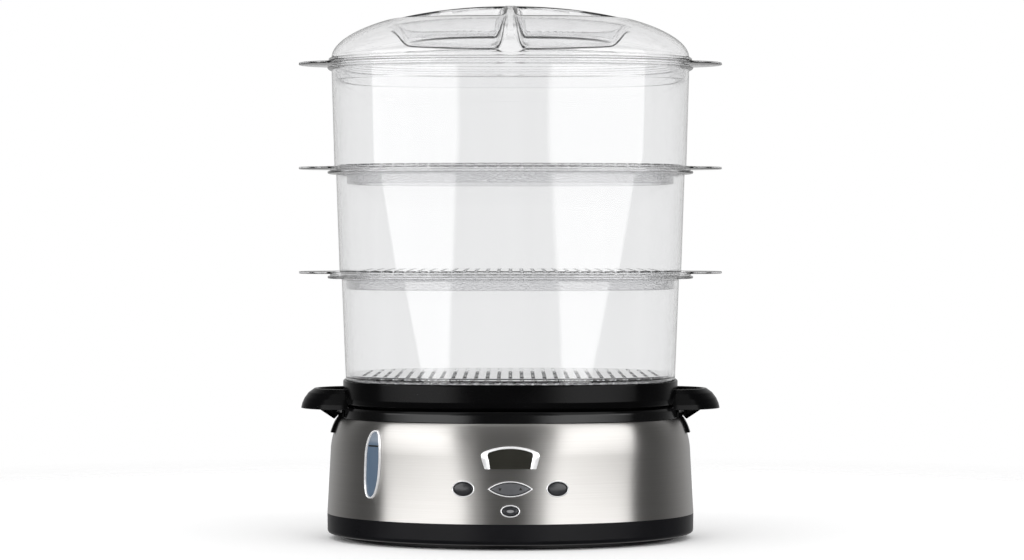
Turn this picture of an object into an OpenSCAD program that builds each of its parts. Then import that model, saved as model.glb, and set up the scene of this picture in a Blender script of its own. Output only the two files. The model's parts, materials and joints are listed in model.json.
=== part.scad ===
// Electric food steamer: an oval powered base, a drip tray with side grips, three clear baskets that
// stack on each other, and a clear domed lid. The origin is the middle of the footprint, on the
// worktop. X is the width, -Y is the front with the controls, +Z is up. Millimetres.

/* [Stack] */
// Width over the side tabs
overall_w = 317; // [314:1:320]
// Width over the basket rims
rim_w = 273; // [272.6:0.2:273.4]
// Depth over the basket rims
rim_d = 234; // [233.8:0.2:234.6]
// Height of one basket tier, rim to rim
tier_h = 78; // [76:0.5:80]
// Height of the lowest basket rim above the worktop
first_rim_z = 195.6; // [194:0.2:197]
// Height of the lid's dome above its rim
dome_h = 39; // [37:0.5:41]
// Squareness of the clear pieces seen from above, where 2 is an ellipse
plan_power = 2.7; // [2.6:0.05:2.8]
// Wall of the clear pieces
clear_wall = 2.2; // [2:0.1:2.4]

/* [Base] */
// Width of the base at its foot
base_w = 274.6; // [274:0.2:275]
// Depth of the base as a share of its width
base_aspect = 0.85; // [0.848:0.001:0.851]
// Height at which the steel shell starts, above the black foot
shell_z0 = 19; // [18.8:0.1:19.2]
// Height at which the steel starts to curve inwards
shoulder_z = 67; // [66:0.5:68]
// Top edge of the steel shell
shell_z1 = 91; // [90.8:0.1:91.2]
// Width of the steel shell at its top edge
shell_top_w = 252.4; // [252:0.2:252.8]
// Thickness of the steel
steel_t = 1; // [0.8:0.1:1.2]

/* [Controls] */
// Distance of the left and right buttons from the middle
button_x = 34; // [33:0.5:35]
// Height of the row of buttons
button_row_z = 44.4; // [44:0.2:45]
// Height of the small power button
power_z = 28.6; // [28:0.2:29]
// How far the caps stand out of the steel
cap_proud = 0.6; // [0.5:0.05:0.6]

/* [Hidden] */

$fn = 64;
steps = 64;                  // points round each oval
gap = 0.3;                   // space between pieces that lift apart
plan_aspect = rim_d / rim_w;
chrome = [0.88, 0.88, 0.9];
rim_a = rim_w / 2;

// Base
foot_a = base_w / 2;
shoulder_a = foot_a - 2.7;
shell_top_a = shell_top_w / 2;
shell_top_aspect = 0.8716;
shell_top_power = 2.4;
shoulder_power = 1.5;
collar_z1 = 99.4;
shell_levels = [shell_z0, 43, shoulder_z, 73, 78, 82.5, 86.5, 89.5, shell_z1];
plate_z0 = 3.6;
plate_z1 = 5.6;
plate_a = 129;
foot_ring_a = 127;
floor_z = 28;                // underside of the tank's floor
floor_t = 2.5;
tank_aspect = 0.84;
tank_z1 = collar_z1 - 3;      // top of the tank's rim, under the collar
boss_sites = [[120.5, 0], [-120.5, 0], [50, 92], [-50, 92], [50, -92], [-50, -92]];
foot_sites = [for (sx = [-1, 1], sy = [-1, 1]) [84 * sx, 64 * sy]];
gland_z = 13.6;
gland_tube_r = 4.4;
gland_flange_r = 5;
gland_bore_r = 3.2;

// Heater
heater_r = 32.6;
flange_r = 40;
flange_z0 = 24;
flange_z1 = 26.4;
clamp_t = 2;
clamp_screw_r = 46;
clamp_angles = [90, 210, 330];

// Gauge, on the left of the front where the shell faces 42 degrees outwards
gauge_at = [-99, -79.6];
gauge_turn = -42;
gauge_z = 60;
gauge_half = [7.6, 24.4];
gauge_window_half = [5.9, 22.7];
gauge_pipe_z = 40;            // the pipe between the tank and the gauge's chamber

// Controls
panel_y = -103;
panel_t = 2;
board_y = -95;
board_t = 1.6;
stem_end_y = -101.5;
round_ring = [8.1, 6];
round_cap = [6.7, 4.7];
power_ring = [7, 4.45];
power_cap = [5.7, 3.3];
rocker_ring_size = [16.3, 5.7];
rocker_cap_size = [14.6, 4.5];
cap_clear = 0.25;
rocker_axis_y = -111;
rocker_lug_z = 4.9;
rocker_lug_t = 2.3;
rocker_pin_r = 1.2;
rocker_stem_x = 9;
display_z0 = 58.9;
display_arc = [27.4, 47.8];   // height of the centre and radius of the surround's arched top
window_arc = [30, 43.4];
display_foot = [18.6, 14.4];  // half-widths of the surround and the window at their foot
display_head = [25, 18.4];    // and at display_z1, which the arches cut off
display_z1 = 80;
lens_proud = 0.3;
trim_proud = 0.7;
display_proud = 1;
gauge_proud = 0.9;
trim_depth = 1.5;             // how far the trims reach into the wall
board_posts = [for (side = [-1, 1], z = [28, 74]) [side * 40, z]];
stem_sites = [[-button_x, button_row_z], [button_x, button_row_z], [0, power_z],
    [-rocker_stem_x, button_row_z], [rocker_stem_x, button_row_z]];

// Power electronics, upright behind the tank
power_y = 97;
power_post_x = 39;
power_posts = [for (side = [-1, 1], z = [22, 58]) [side * power_post_x, z]];
element_r = 20;
lead_x = 10;
lead_y = sqrt(element_r * element_r - lead_x * lead_x);
lead_z = 10;
lead_r = 1.5;

// Tray and baskets
tray_z0 = collar_z1 + gap;
tray_z1 = 118.8;
tray_a = 125;
chimney_r = 36;
locating_lip = [105.8, 89.4];
grip_z0 = 97.4;
grip_z1 = 112.2;
grip_wall = 3;
grip_x = 118;
gutter_w = 48;
rim_step = 4.1;              // from the lower flange of a rim to its upper one
flange_t = 1.6;
lip_a = 134.8;
lip_t = 2.2;
skirt_a = 122.6;
skirt_h = 10;
floor_rise = 2.4;
floor_plate_t = 1.8;
slot_pitch = 8.3;
slot_w = 2.6;
slot_web = 9;                // between the rows of slots
floor_margin = 6;
wall_a = [[123, 126], [127.5, 130.1], [131.3, 133.5]];   // foot and head of each basket's wall
tab_half_depth = 46;

// Lid
lid_z0 = first_rim_z + 2 * tier_h + rim_step + gap;
lid_wall = 2.4;
dome_a = 133.5;
dome_bend = 0.526;            // how round the dome is: 0.5 is an ellipse
dish_a = 92;
dish_floor_z = lid_z0 + 13.5;

function rim_z(tier) = first_rim_z + tier * tier_h;
function rest_z(tier) = tier == 0 ? tray_z1 + gap : rim_z(tier - 1) + 0.8 + gap;

// Points of the oval |x/a|^n + |y/b|^n = 1, at even angles
function oval(a, b, n) = [for (i = [0 : steps - 1])
    let (t = 360 * i / steps, r = pow(pow(abs(cos(t)) / a, n) + pow(abs(sin(t)) / b, n), -1 / n))
    [r * cos(t), r * sin(t)]];

// A ring of a clear piece or the tray: half-width and height
function ring(a, z) = [a, a * plan_aspect, plan_power, z];

// A ring of the foot, or of the water tank: a true ellipse
function base_ring(a, z) = [a, a * base_aspect, 2, z];
function tank_ring(a, z) = [a, a * tank_aspect, 2, z];

// A ring of the steam chimney, and of the lip that locates the tray in the collar
function round_ring_at(a, z) = [a, a, 2, z];
function lip_ring(out, z) = [locating_lip[0] + out, locating_lip[1] + out, 2, z];

// Half-width, aspect and squareness of the steel shell at a height: a slight lean, then the shoulder
function shell_share(z) = (z - shell_z0) / (shell_z1 - shell_z0);
function shoulder_share(z) = (z - shoulder_z) / (shell_z1 - shoulder_z);
function shell_a(z) = let (n = shoulder_power) z <= shoulder_z
    ? foot_a + (shoulder_a - foot_a) * (z - shell_z0) / (shoulder_z - shell_z0)
    : shell_top_a + (shoulder_a - shell_top_a) * pow(1 - pow(shoulder_share(z), n), 1 / n);
function shell_aspect(z) = base_aspect + (shell_top_aspect - base_aspect) * pow(shell_share(z), 2);
function shell_b(z) = shell_a(z) * shell_aspect(z);
function shell_power(z) = 2 + (shell_top_power - 2) * pow(shell_share(z), 2);
function shell_ring(z, out) = [shell_a(z) + out, shell_b(z) + out, shell_power(z), z];

// Y of the shell's front face at a place on it
function front_y(x, z) = let (n = shell_power(z)) -shell_b(z) * pow(1 - pow(abs(x) / shell_a(z), n), 1 / n);

// Height of the lid's dome at a share of its half-width
function dome_z(share) = lid_z0 + 3 + dome_h * pow(1 - share * share, dome_bend);

// Solid skinned over rings [a, b, n, z], centred on x = at_x. The outer side is listed going up. A looped
// skin joins its last ring to its first, as round a wall; any other is capped at both ends.
module skin(rings, looped = false, at_x = 0) {
    count = len(rings);
    last = looped ? count - 1 : count - 2;
    sides = [for (j = [0 : last], i = [0 : steps - 1])
        let (k = (i + 1) % steps, up = ((j + 1) % count) * steps, at = j * steps)
        each [[at + i, up + i, up + k], [at + i, up + k, at + k]]];
    foot = [for (i = [0 : steps - 1]) i];
    head = [for (i = [steps - 1 : -1 : 0]) (count - 1) * steps + i];
    points = [for (r = rings) each [for (p = oval(r[0], r[1], r[2])) [p[0] + at_x, p[1], r[3]]]];
    polyhedron(points, looped ? sides : concat(sides, [foot, head]));
}

// Flat oval plate
module oval_plate(a, b, n, z0, z1) {
    translate([0, 0, z0]) linear_extrude(z1 - z0) polygon(oval(a, b, n));
}

// Layer that follows the whole steel shell, from inn to out outside its outer face
module shell_layer(out, inn) {
    top = len(shell_levels) - 1;
    skin([for (z = shell_levels) shell_ring(z, out),
        for (i = [top : -1 : 0]) shell_ring(shell_levels[i], inn)], looped = true);
}

// Piece of that layer within some steps round the shell of the direction of (x, y)
module shell_patch(out, inn, x, y = -112, reach = 4) {
    mid = round(atan2(y, x) * steps / 360) + steps;
    rows = len(shell_levels);
    cols = 2 * reach + 1;
    points = [for (face = [inn, out], z = shell_levels)
        let (r = shell_ring(z, face), p = oval(r[0], r[1], r[2]))
        each [for (i = [mid - reach : mid + reach]) [p[i % steps][0], p[i % steps][1], z]]];
    outer = rows * cols;
    // Two triangles between four corners, listed clockwise from outside
    function quad(a, b, c, d) = [[a, b, c], [a, c, d]];
    sides = [for (j = [0 : rows - 2], i = [0 : cols - 2]) let (at = j * cols + i)
        each concat(quad(outer + at, outer + at + cols, outer + at + cols + 1, outer + at + 1),
            quad(at, at + 1, at + cols + 1, at + cols))];
    rims = concat(
        [for (i = [0 : cols - 2]) each quad(i, outer + i, outer + i + 1, i + 1)],
        [for (i = [0 : cols - 2]) let (at = outer - cols + i)
            each quad(at, at + 1, outer + at + 1, outer + at)],
        [for (j = [0 : rows - 2]) let (at = j * cols)
            each quad(at, at + cols, outer + at + cols, outer + at)],
        [for (j = [0 : rows - 2]) let (at = j * cols + cols - 1)
            each quad(at, outer + at, outer + at + cols, at + cols)]);
    polyhedron(points, concat(sides, rims));
}

// Outline drawn in X and Z, pushed through the front of the base from y0 to y1
module front(y0 = -125, y1 = -100) {
    translate([0, y1, 0]) rotate([90, 0, 0]) linear_extrude(y1 - y0) children();
}

module ellipse(size) {
    scale([size[0] / size[1], 1]) circle(size[1]);
}

// Pointed oval between two arcs
module pointed_oval(size) {
    r = (size[0] * size[0] + size[1] * size[1]) / (2 * size[1]);
    intersection() {
        translate([0, r - size[1]]) circle(r);
        translate([0, size[1] - r]) circle(r);
    }
}

module capsule(size) {
    square([2 * size[0], 2 * (size[1] - size[0])], center = true);
    for (side = [-1, 1]) translate([0, side * (size[1] - size[0])]) circle(size[0]);
}

// Frame of the gauge: its own -Y points out of the shell
module at_gauge() {
    translate([gauge_at[0], gauge_at[1], gauge_z]) rotate([0, 0, gauge_turn]) children();
}

module gauge_prism(size, y0 = -6, y1 = 8) {
    at_gauge() front(y0, y1) capsule(size);
}

module round_button_at(x, z) {
    front() translate([x, z]) children();
}

// Arched outline of the display's surround, and of the window in it
module display_outer() {
    intersection() {
        polygon([[-display_foot[0], display_z0], [display_foot[0], display_z0],
            [display_head[0], display_z1], [-display_head[0], display_z1]]);
        translate([0, display_arc[0]]) circle(display_arc[1]);
    }
}

module display_window(z0) {
    intersection() {
        polygon([[-display_foot[1], z0], [display_foot[1], z0],
            [display_head[1], display_z1], [-display_head[1], display_z1]]);
        translate([0, window_arc[0]]) circle(window_arc[1]);
    }
}

// ---- Base casing ----

module steel_shell() color("silver") difference() {
    shell_layer(0, -steel_t);
    gauge_prism(gauge_half);
    front() display_outer();
    for (side = [-1, 1]) round_button_at(side * button_x, button_row_z) ellipse(round_ring);
    round_button_at(0, button_row_z) pointed_oval(rocker_ring_size);
    round_button_at(0, power_z) ellipse(power_ring);
}

// Notch in the ledge on each side, where water is poured in
module pouring_notches() {
    for (side = [-1, 1]) translate([side * 111, 0, shell_z1 + 9]) cube([12, 32, 10], center = true);
}

module base_collar() color([0.06, 0.06, 0.07]) {
    lip_h = 11.6;
    lip_w = 40;
    difference() {
        skin([[shell_top_a, shell_top_a * shell_top_aspect, shell_top_power, shell_z1],
            [shell_top_a, shell_top_a * shell_top_aspect, shell_top_power, collar_z1 - 2],
            [shell_top_a - 1.2, (shell_top_a - 1.2) * shell_top_aspect, shell_top_power, collar_z1],
            [109.5, 93.1, 2, collar_z1],
            [109.5, 93.1, 2, collar_z1 - 3],
            [122.6, 106.4, shell_top_power, collar_z1 - 3],
            [122.6, 106.4, shell_top_power, shell_z1]], looped = true);
        pouring_notches();
    }
    for (side = [0, 1]) mirror([side, 0, 0]) {
        intersection() {
            shell_patch(2.4, 0, 1, 0);
            translate([110, -lip_w / 2, shell_z1 - lip_h]) cube([30, lip_w, lip_h + 1]);
        }
        translate([123.4, -lip_w / 2, shell_z1]) cube([5, lip_w, 4]);
    }
}

module bottom_housing() color([0.05, 0.05, 0.06]) {
    corner_r = 4.6;
    corner = [132.5, plate_z0 - 0.2 + corner_r];
    inner_a = 133.8;
    difference() {
        union() {
            skin([base_ring(plate_a + 0.3, plate_z0 - 0.2),
                for (t = [-90 : 22.5 : 0])
                    base_ring(corner[0] + corner_r * cos(t), corner[1] + corner_r * sin(t)),
                base_ring(foot_a, shell_z0), base_ring(foot_a - steel_t - 0.2, shell_z0),
                base_ring(foot_a - steel_t - 0.4, shell_z0 + 4.6), base_ring(inner_a, shell_z0 + 4.6),
                base_ring(inner_a, 9), base_ring(plate_a + 1.4, plate_z1),
                base_ring(plate_a + 0.3, plate_z1)], looped = true);
            for (site = boss_sites) translate([site[0], site[1], plate_z1]) {
                cylinder(r = 5, h = shell_z0 - plate_z1);
                rotate(atan2(site[1], site[0])) translate([0, -1.5, 4.4]) cube([14, 3, 9]);
            }
        }
        for (site = boss_sites) translate([site[0], site[1], plate_z1 - 1]) cylinder(r = 1.5, h = 12);
        translate([0, 104, gland_z]) rotate([-90, 0, 0]) cylinder(r = gland_tube_r + 0.05, h = 20);
    }
}

module bottom_plate() color([0.07, 0.07, 0.08]) difference() {
    union() {
        scale([1, base_aspect, 1]) translate([0, 0, plate_z0])
            cylinder(r = plate_a, h = plate_z1 - plate_z0);
        scale([1, base_aspect, 1]) rotate_extrude()
            polygon([[foot_ring_a - 3, 0.8], [foot_ring_a - 0.6, 0.8], [foot_ring_a, 1.4],
                [foot_ring_a, plate_z0 + 0.5], [foot_ring_a - 3, plate_z0 + 0.5]]);
        for (side = [-1, 1]) translate([side * power_post_x - 4, power_y - 6, plate_z1 - 0.5])
            cube([8, 6, 60]);
    }
    for (site = boss_sites) translate([site[0], site[1], -1]) cylinder(r = 1.8, h = 12);
    for (post = power_posts) translate([post[0], power_y - 5, post[1]]) rotate([-90, 0, 0])
        cylinder(r = 1.2, h = 10);
    for (row = [-2 : 2], side = [-1, 1])
        translate([side * 58, row * 12, plate_z0]) cube([34, 3.5, 12], center = true);
}

module rubber_feet() color([0.15, 0.15, 0.15])
    for (site = foot_sites) translate([site[0], site[1], 0]) rotate_extrude()
        polygon([[0, 0], [6.2, 0], [7, 0.8], [7, plate_z0], [0, plate_z0]]);

module base_screws() color("gray")
    for (site = boss_sites) translate([site[0], site[1], 0]) {
        translate([0, 0, 1.8]) cylinder(r = 3.4, h = plate_z0 - 1.8);
        translate([0, 0, 3]) cylinder(r = 1.4, h = 12);
    }

module cord_gland() color([0.1, 0.1, 0.1]) translate([0, 0, gland_z]) rotate([-90, 0, 0])
    difference() {
        union() {
            translate([0, 0, 109]) cylinder(r = gland_flange_r, h = 4);
            translate([0, 0, 109]) cylinder(r = gland_tube_r, h = 7.3);
        }
        translate([0, 0, 100]) cylinder(r = gland_bore_r, h = 20);
    }

// ---- Water and heat ----

module water_tank() color([0.22, 0.22, 0.24]) difference() {
    union() {
        skin([tank_ring(100, floor_z), tank_ring(104, floor_z + 4), tank_ring(106, 78), tank_ring(113, 84),
            tank_ring(113, tank_z1 - 2), tank_ring(121, tank_z1 - 2), tank_ring(121, tank_z1),
            tank_ring(110.8, tank_z1), tank_ring(110.8, 84.9), tank_ring(103.8, 78.9),
            tank_ring(101.8, 33.2), tank_ring(99, floor_z + floor_t)]);
        for (t = clamp_angles) rotate(t) translate([clamp_screw_r, 0, flange_z0])
            cylinder(r = 4, h = floor_z - flange_z0 + 0.5);
    }
    translate([0, 0, floor_z - 1]) cylinder(r = heater_r + 0.4, h = 6);
    for (t = clamp_angles) rotate(t) translate([clamp_screw_r, 0, flange_z0 - 1]) cylinder(r = 1.6, h = 5);
    at_gauge() translate([0, 25, gauge_pipe_z - gauge_z]) rotate([-90, 0, 0]) cylinder(r = 4.2, h = 12);
    pouring_notches();
}

module steam_ring() color([0.85, 0.86, 0.88]) difference() {
    translate([0, 0, floor_z + floor_t + gap]) rotate_extrude()
        polygon([[36.5, 0], [39.5, 0], [37, 56], [35, 60], [31, 62], [31, 60], [34, 58], [34.8, 55]]);
    for (t = [0 : 60 : 120]) rotate(t) translate([-50, -5, floor_z]) cube([100, 10, 10]);
}

module heater_plate() color([0.75, 0.75, 0.76]) rotate_extrude()
    polygon([[0, flange_z0], [flange_r, flange_z0], [flange_r, flange_z1], [heater_r, flange_z1],
        [heater_r, 33], [30.6, 35], [14, 36.4], [0, 36.8]]);

module heater_seal() color([0.7, 0.3, 0.22]) rotate_extrude()
    polygon([[33.2, flange_z1], [flange_r, flange_z1], [flange_r, floor_z], [33.2, floor_z]]);

// Tubular element under the plate, open at the back, with its two terminal pins
module heater_element() color([0.6, 0.58, 0.55]) {
    rotate(120) rotate_extrude(angle = 300) translate([element_r, 20.3]) circle(3.6, $fn = 32);
    for (side = [-1, 1]) translate([side * lead_x, lead_y, 12]) cylinder(r = 2, h = 8);
}

module heater_clamp() color([0.62, 0.63, 0.65]) difference() {
    translate([0, 0, flange_z0 - clamp_t]) cylinder(r = 51, h = clamp_t);
    translate([0, 0, flange_z0 - clamp_t - 1]) cylinder(r = 28, h = clamp_t + 2);
    for (t = clamp_angles) rotate(t) translate([clamp_screw_r, 0, 0]) cylinder(r = 1.8, h = 40);
}

module heater_screws() color("gray") for (t = clamp_angles) rotate(t) translate([clamp_screw_r, 0, 0]) {
    translate([0, 0, 19.8]) cylinder(r = 3.2, h = flange_z0 - clamp_t - 19.8);
    translate([0, 0, 21]) cylinder(r = 1.5, h = 6);
}

module thermostat() color([0.85, 0.8, 0.7]) {
    translate([0, 0, 18]) cylinder(r = 8, h = flange_z0 - 18);
    for (side = [-1, 1]) translate([side * 5, 0, 15.5]) cube([0.8, 5, 6], center = true);
}

module thermal_fuse() color([0.9, 0.9, 0.92]) translate([-6, -12.2, 22.3]) rotate([0, 90, 0])
    cylinder(r = 1.6, h = 12);

// ---- Water gauge ----

module gauge_bezel() color([0.85, 0.86, 0.88]) intersection() {
    difference() {
        gauge_prism(gauge_half);
        gauge_prism(gauge_window_half, -8, 10);
    }
    shell_patch(gauge_proud, -2, gauge_at[0], gauge_at[1]);
}

module gauge_window() color([0.55, 0.65, 0.75, 0.5]) intersection() {
    gauge_prism(gauge_window_half);
    shell_patch(lens_proud, -2, gauge_at[0], gauge_at[1]);
}

module gauge_chamber() color([0.8, 0.85, 0.9, 0.5]) difference() {
    union() {
        translate([0, 0, -5]) gauge_prism([6, 17], 4.4, 13);
        at_gauge() translate([0, 12, gauge_pipe_z - gauge_z]) rotate([-90, 0, 0]) cylinder(r = 4, h = 20);
    }
    translate([0, 0, -5]) gauge_prism([4.6, 15.6], 3, 11.6);
    at_gauge() translate([0, 10, gauge_pipe_z - gauge_z]) rotate([-90, 0, 0]) cylinder(r = 2.8, h = 30);
}

module gauge_seal() color([0.7, 0.3, 0.22]) at_gauge() translate([0, 25.5, gauge_pipe_z - gauge_z])
    rotate([-90, 0, 0]) difference() {
        cylinder(r = 6.5, h = 3);
        translate([0, 0, -1]) cylinder(r = 4.05, h = 5);
    }

// ---- Display and buttons ----

module display_bezel() color(chrome) intersection() {
    front() difference() {
        display_outer();
        display_window(display_z0 - 1);
    }
    shell_patch(display_proud, -trim_depth, 0);
}

module display_lens() color([0.08, 0.08, 0.09]) intersection() {
    front() display_window(display_z0);
    shell_patch(lens_proud, -trim_depth, 0);
}

module lcd_module() color([0.35, 0.4, 0.35]) translate([-20, panel_y - 6.5, 57]) cube([40, 6.5, 18]);

module button_stem(x, z) {
    y0 = front_y(x, z) + 1.5;
    translate([x, y0, z]) rotate([-90, 0, 0]) cylinder(r = 1.8, h = stem_end_y - y0);
}

module button_cap(x, z, size) {
    intersection() {
        round_button_at(x, z) ellipse(size);
        shell_patch(cap_proud, -3, x);
    }
    button_stem(x, z);
}

module ring_trim(x) {
    intersection() {
        children();
        shell_patch(trim_proud, -trim_depth, x);
    }
}

module left_button() color([0.18, 0.18, 0.2]) button_cap(-button_x, button_row_z, round_cap);
module right_button() color([0.18, 0.18, 0.2]) button_cap(button_x, button_row_z, round_cap);
module power_button() color([0.18, 0.18, 0.2]) button_cap(0, power_z, power_cap);

// Rocks to either side on an upright pin held by the control panel
module rocker_button() color([0.18, 0.18, 0.2]) {
    intersection() {
        round_button_at(0, button_row_z) pointed_oval(rocker_cap_size);
        shell_patch(cap_proud, -3, 0);
    }
    translate([-2.2, -113.5, button_row_z - 3.2]) cube([4.4, 4, 6.4]);
    translate([0, rocker_axis_y, button_row_z - rocker_lug_z - rocker_lug_t])
        cylinder(r = rocker_pin_r, h = 2 * (rocker_lug_z + rocker_lug_t));
    for (side = [-1, 1]) button_stem(side * rocker_stem_x, button_row_z);
}

module oval_ring(x, z, ring_size, cap_size) {
    ring_trim(x) round_button_at(x, z) difference() {
        ellipse(ring_size);
        ellipse(cap_size + [cap_clear, cap_clear]);
    }
}

module left_button_ring() color(chrome) oval_ring(-button_x, button_row_z, round_ring, round_cap);
module right_button_ring() color(chrome) oval_ring(button_x, button_row_z, round_ring, round_cap);
module power_button_ring() color(chrome) oval_ring(0, power_z, power_ring, power_cap);
module rocker_ring() color(chrome) ring_trim(0) round_button_at(0, button_row_z) difference() {
    pointed_oval(rocker_ring_size);
    pointed_oval(rocker_cap_size + [0.6, 0.3]);
}

// Carrier behind the shell: it holds the display, the rocker's pin and the board, and stands on the plate
module control_panel() color([0.3, 0.3, 0.32]) difference() {
    union() {
        translate([-46, panel_y, 22]) cube([92, panel_t, 56]);
        for (side = [-1, 1]) translate([side * 33 - 3, panel_y, plate_z1]) cube([6, 6, 20]);
        for (post = board_posts) translate([post[0], panel_y + 1, post[1]]) rotate([-90, 0, 0])
            cylinder(r = 3, h = board_y - panel_y - 1);
        for (dz = [-rocker_lug_z - rocker_lug_t, rocker_lug_z])
            translate([-3, rocker_axis_y - 2.2, button_row_z + dz])
                cube([6, panel_y - rocker_axis_y + 3, rocker_lug_t]);
    }
    for (site = stem_sites) translate([site[0], panel_y - 1, site[1]]) rotate([-90, 0, 0])
        cylinder(r = 2.6, h = 4);
    for (post = board_posts) translate([post[0], panel_y + 2, post[1]]) rotate([-90, 0, 0])
        cylinder(r = 1.15, h = 12);
    translate([0, rocker_axis_y, button_row_z - 8]) cylinder(r = rocker_pin_r + 0.05, h = 16);
}

module control_board() color([0.1, 0.35, 0.2]) difference() {
    translate([-44, board_y, 24]) cube([88, board_t, 53]);
    for (post = board_posts) translate([post[0], board_y - 1, post[1]]) rotate([-90, 0, 0])
        cylinder(r = 1.3, h = 4);
}

module tact_switches() color([0.12, 0.12, 0.12]) for (site = stem_sites) translate([site[0], 0, site[1]]) {
    translate([-3, board_y - 4, -3]) cube([6, 4, 6]);
    translate([0, board_y - 5.2, 0]) rotate([-90, 0, 0]) cylinder(r = 1.6, h = 2);
}

module panel_screws() color("gray") for (post = board_posts)
    translate([post[0], board_y + board_t, post[1]]) rotate([-90, 0, 0]) {
        cylinder(r = 2.4, h = 1.6);
        translate([0, 0, -7]) cylinder(r = 1.1, h = 8);
    }

module buzzer() color([0.05, 0.05, 0.05]) translate([26, board_y + board_t, 58]) rotate([-90, 0, 0])
    cylinder(r = 6, h = 5);

module ribbon_cable() color([0.75, 0.75, 0.78]) {
    x = 20;
    w = 12;
    t = 0.6;
    translate([x, board_y + board_t, 12]) cube([w, t, 24]);
    translate([x, board_y + board_t, 12]) cube([w, power_y - board_y - board_t, t]);
    translate([x, power_y - t, 12]) cube([w, t, 10]);
}

// ---- Power electronics ----

module power_board() color([0.1, 0.35, 0.2]) difference() {
    translate([-44, power_y, 14]) cube([88, board_t, 50]);
    for (post = power_posts) translate([post[0], power_y - 1, post[1]]) rotate([-90, 0, 0])
        cylinder(r = 1.5, h = 4);
}

module board_screws() color("gray") for (post = power_posts)
    translate([post[0], power_y + board_t, post[1]]) rotate([-90, 0, 0]) {
        cylinder(r = 2.4, h = 1.6);
        translate([0, 0, -6]) cylinder(r = 1.1, h = 7);
    }

module relay() color([0.1, 0.2, 0.5]) translate([-30, power_y + board_t, 34]) cube([19, 10, 15]);
module transformer() color([0.75, 0.65, 0.2]) translate([8, power_y + board_t, 32]) cube([22, 10, 20]);
module capacitor() color([0.1, 0.1, 0.35]) translate([-3, power_y + board_t, 42]) rotate([-90, 0, 0])
    cylinder(r = 5, h = 9);
module terminal_block() color([0.2, 0.45, 0.25]) translate([-15, power_y + board_t, 16]) cube([30, 8, 10]);

// Two insulated leads from the element's pins, under the tank, to the terminal block
module heater_leads() color([0.7, 0.15, 0.12]) for (side = [-1, 1]) translate([side * lead_x, 0, 0]) {
    y1 = power_y + board_t + 4;
    translate([0, lead_y, lead_z]) cylinder(r = lead_r, h = 2);
    translate([0, lead_y, lead_z]) sphere(r = lead_r);
    translate([0, lead_y, lead_z]) rotate([-90, 0, 0]) cylinder(r = lead_r, h = y1 - lead_y);
    translate([0, y1, lead_z]) sphere(r = lead_r);
    translate([0, y1, lead_z]) cylinder(r = lead_r, h = 6);
}

// ---- Drip tray ----

// Grip on the right-hand side: the outer face swells outwards on its way down
module grip_solid(inset, z0, z1) {
    skin([for (ring = [[39, 41, z0], [38.2, 40.4, 101], [36.4, 39, 105], [33.4, 36.8, 109], [29, 33.6, z1]])
        [ring[0] - inset, ring[1] - inset, 2, ring[2]]], at_x = grip_x);
}

module drip_tray() color([0.05, 0.05, 0.06]) {
    // Wall, floor, steam chimney and, last, the locating lip under the floor
    skin([ring(119.5, tray_z0), ring(123.6, tray_z0 + 2), ring(tray_a, tray_z0 + 6), ring(tray_a, tray_z1),
        ring(tray_a - 2.8, tray_z1), ring(tray_a - 3.4, tray_z0 + 4.8), ring(118, tray_z0 + 2.8),
        round_ring_at(chimney_r + 2, tray_z0 + 4.8), round_ring_at(chimney_r, tray_z0 + 15.3),
        round_ring_at(chimney_r - 2.4, tray_z0 + 15.3), round_ring_at(chimney_r - 0.4, tray_z0 + 2.2),
        lip_ring(0, tray_z0 + 0.3), lip_ring(0, tray_z0 - 4.2), lip_ring(2.4, tray_z0 - 4.2),
        lip_ring(2.4, tray_z0 + 0.2), ring(112, tray_z0)], looped = true);
    for (side = [0, 1]) mirror([side, 0, 0]) {
        difference() {
            grip_solid(0, grip_z0, grip_z1);
            grip_solid(grip_wall, grip_z0 - 1, grip_z1 + 1);
            skin([ring(128.7, grip_z0 - 3), ring(128.7, tray_z0 + 0.1), ring(tray_a - 1.2, tray_z0 + 0.7),
                ring(tray_a - 1.2, grip_z1 + 3)]);
        }
        // Sloping gutter under the grip, hung from the tray's wall
        translate([0, gutter_w / 2, 0]) rotate([90, 0, 0]) linear_extrude(gutter_w)
            polygon([[131.4, 90.4], [142, grip_z0], [142, grip_z0 + 2.4], [131.4, 93.4], [131.4, 103.2],
                [124, 103.2], [124, tray_z0 + 0.6], [128.9, tray_z0 + 0.6], [128.9, 92.2], [130.6, 90.4]]);
    }
}

// ---- Baskets ----

// Half-depth of a basket's floor at a given distance from the middle
function floor_reach(a, x) = a * plan_aspect * pow(1 - pow(abs(x) / a, plan_power), 1 / plan_power);

// Floor with rows of slots that run from front to back, and round holes between the rows
module slotted_floor(a, z) {
    columns = floor((a - 9) / slot_pitch);
    difference() {
        oval_plate(a, a * plan_aspect, plan_power, z, z + floor_plate_t);
        for (i = [-columns : columns]) {
            x = i * slot_pitch;
            reach = floor_reach(a - floor_margin, x);
            slot = 2 * (reach - slot_web) / 3;
            for (row = [-1 : 1]) translate([x, row * (slot + slot_web), z])
                cube([slot_w, slot, 6], center = true);
            for (row = [-1, 1]) translate([x, row * (slot + slot_web) / 2, z - 1])
                cylinder(r = 1.3, h = 4, $fn = 24);
        }
    }
}

// Thin plate at the top of a rim that grows into a tab on each side
module rim_tabs(z) {
    half = overall_w / 2;
    reach = 48;
    difference() {
        for (side = [-1, 1]) translate([side * (half - reach), 0, z]) linear_extrude(flange_t)
            polygon(oval(reach, tab_half_depth, 2.3));
        oval_plate(lip_a - 1, (lip_a - 1) * plan_aspect, plan_power, z - 1, z + 4);
    }
}

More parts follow.
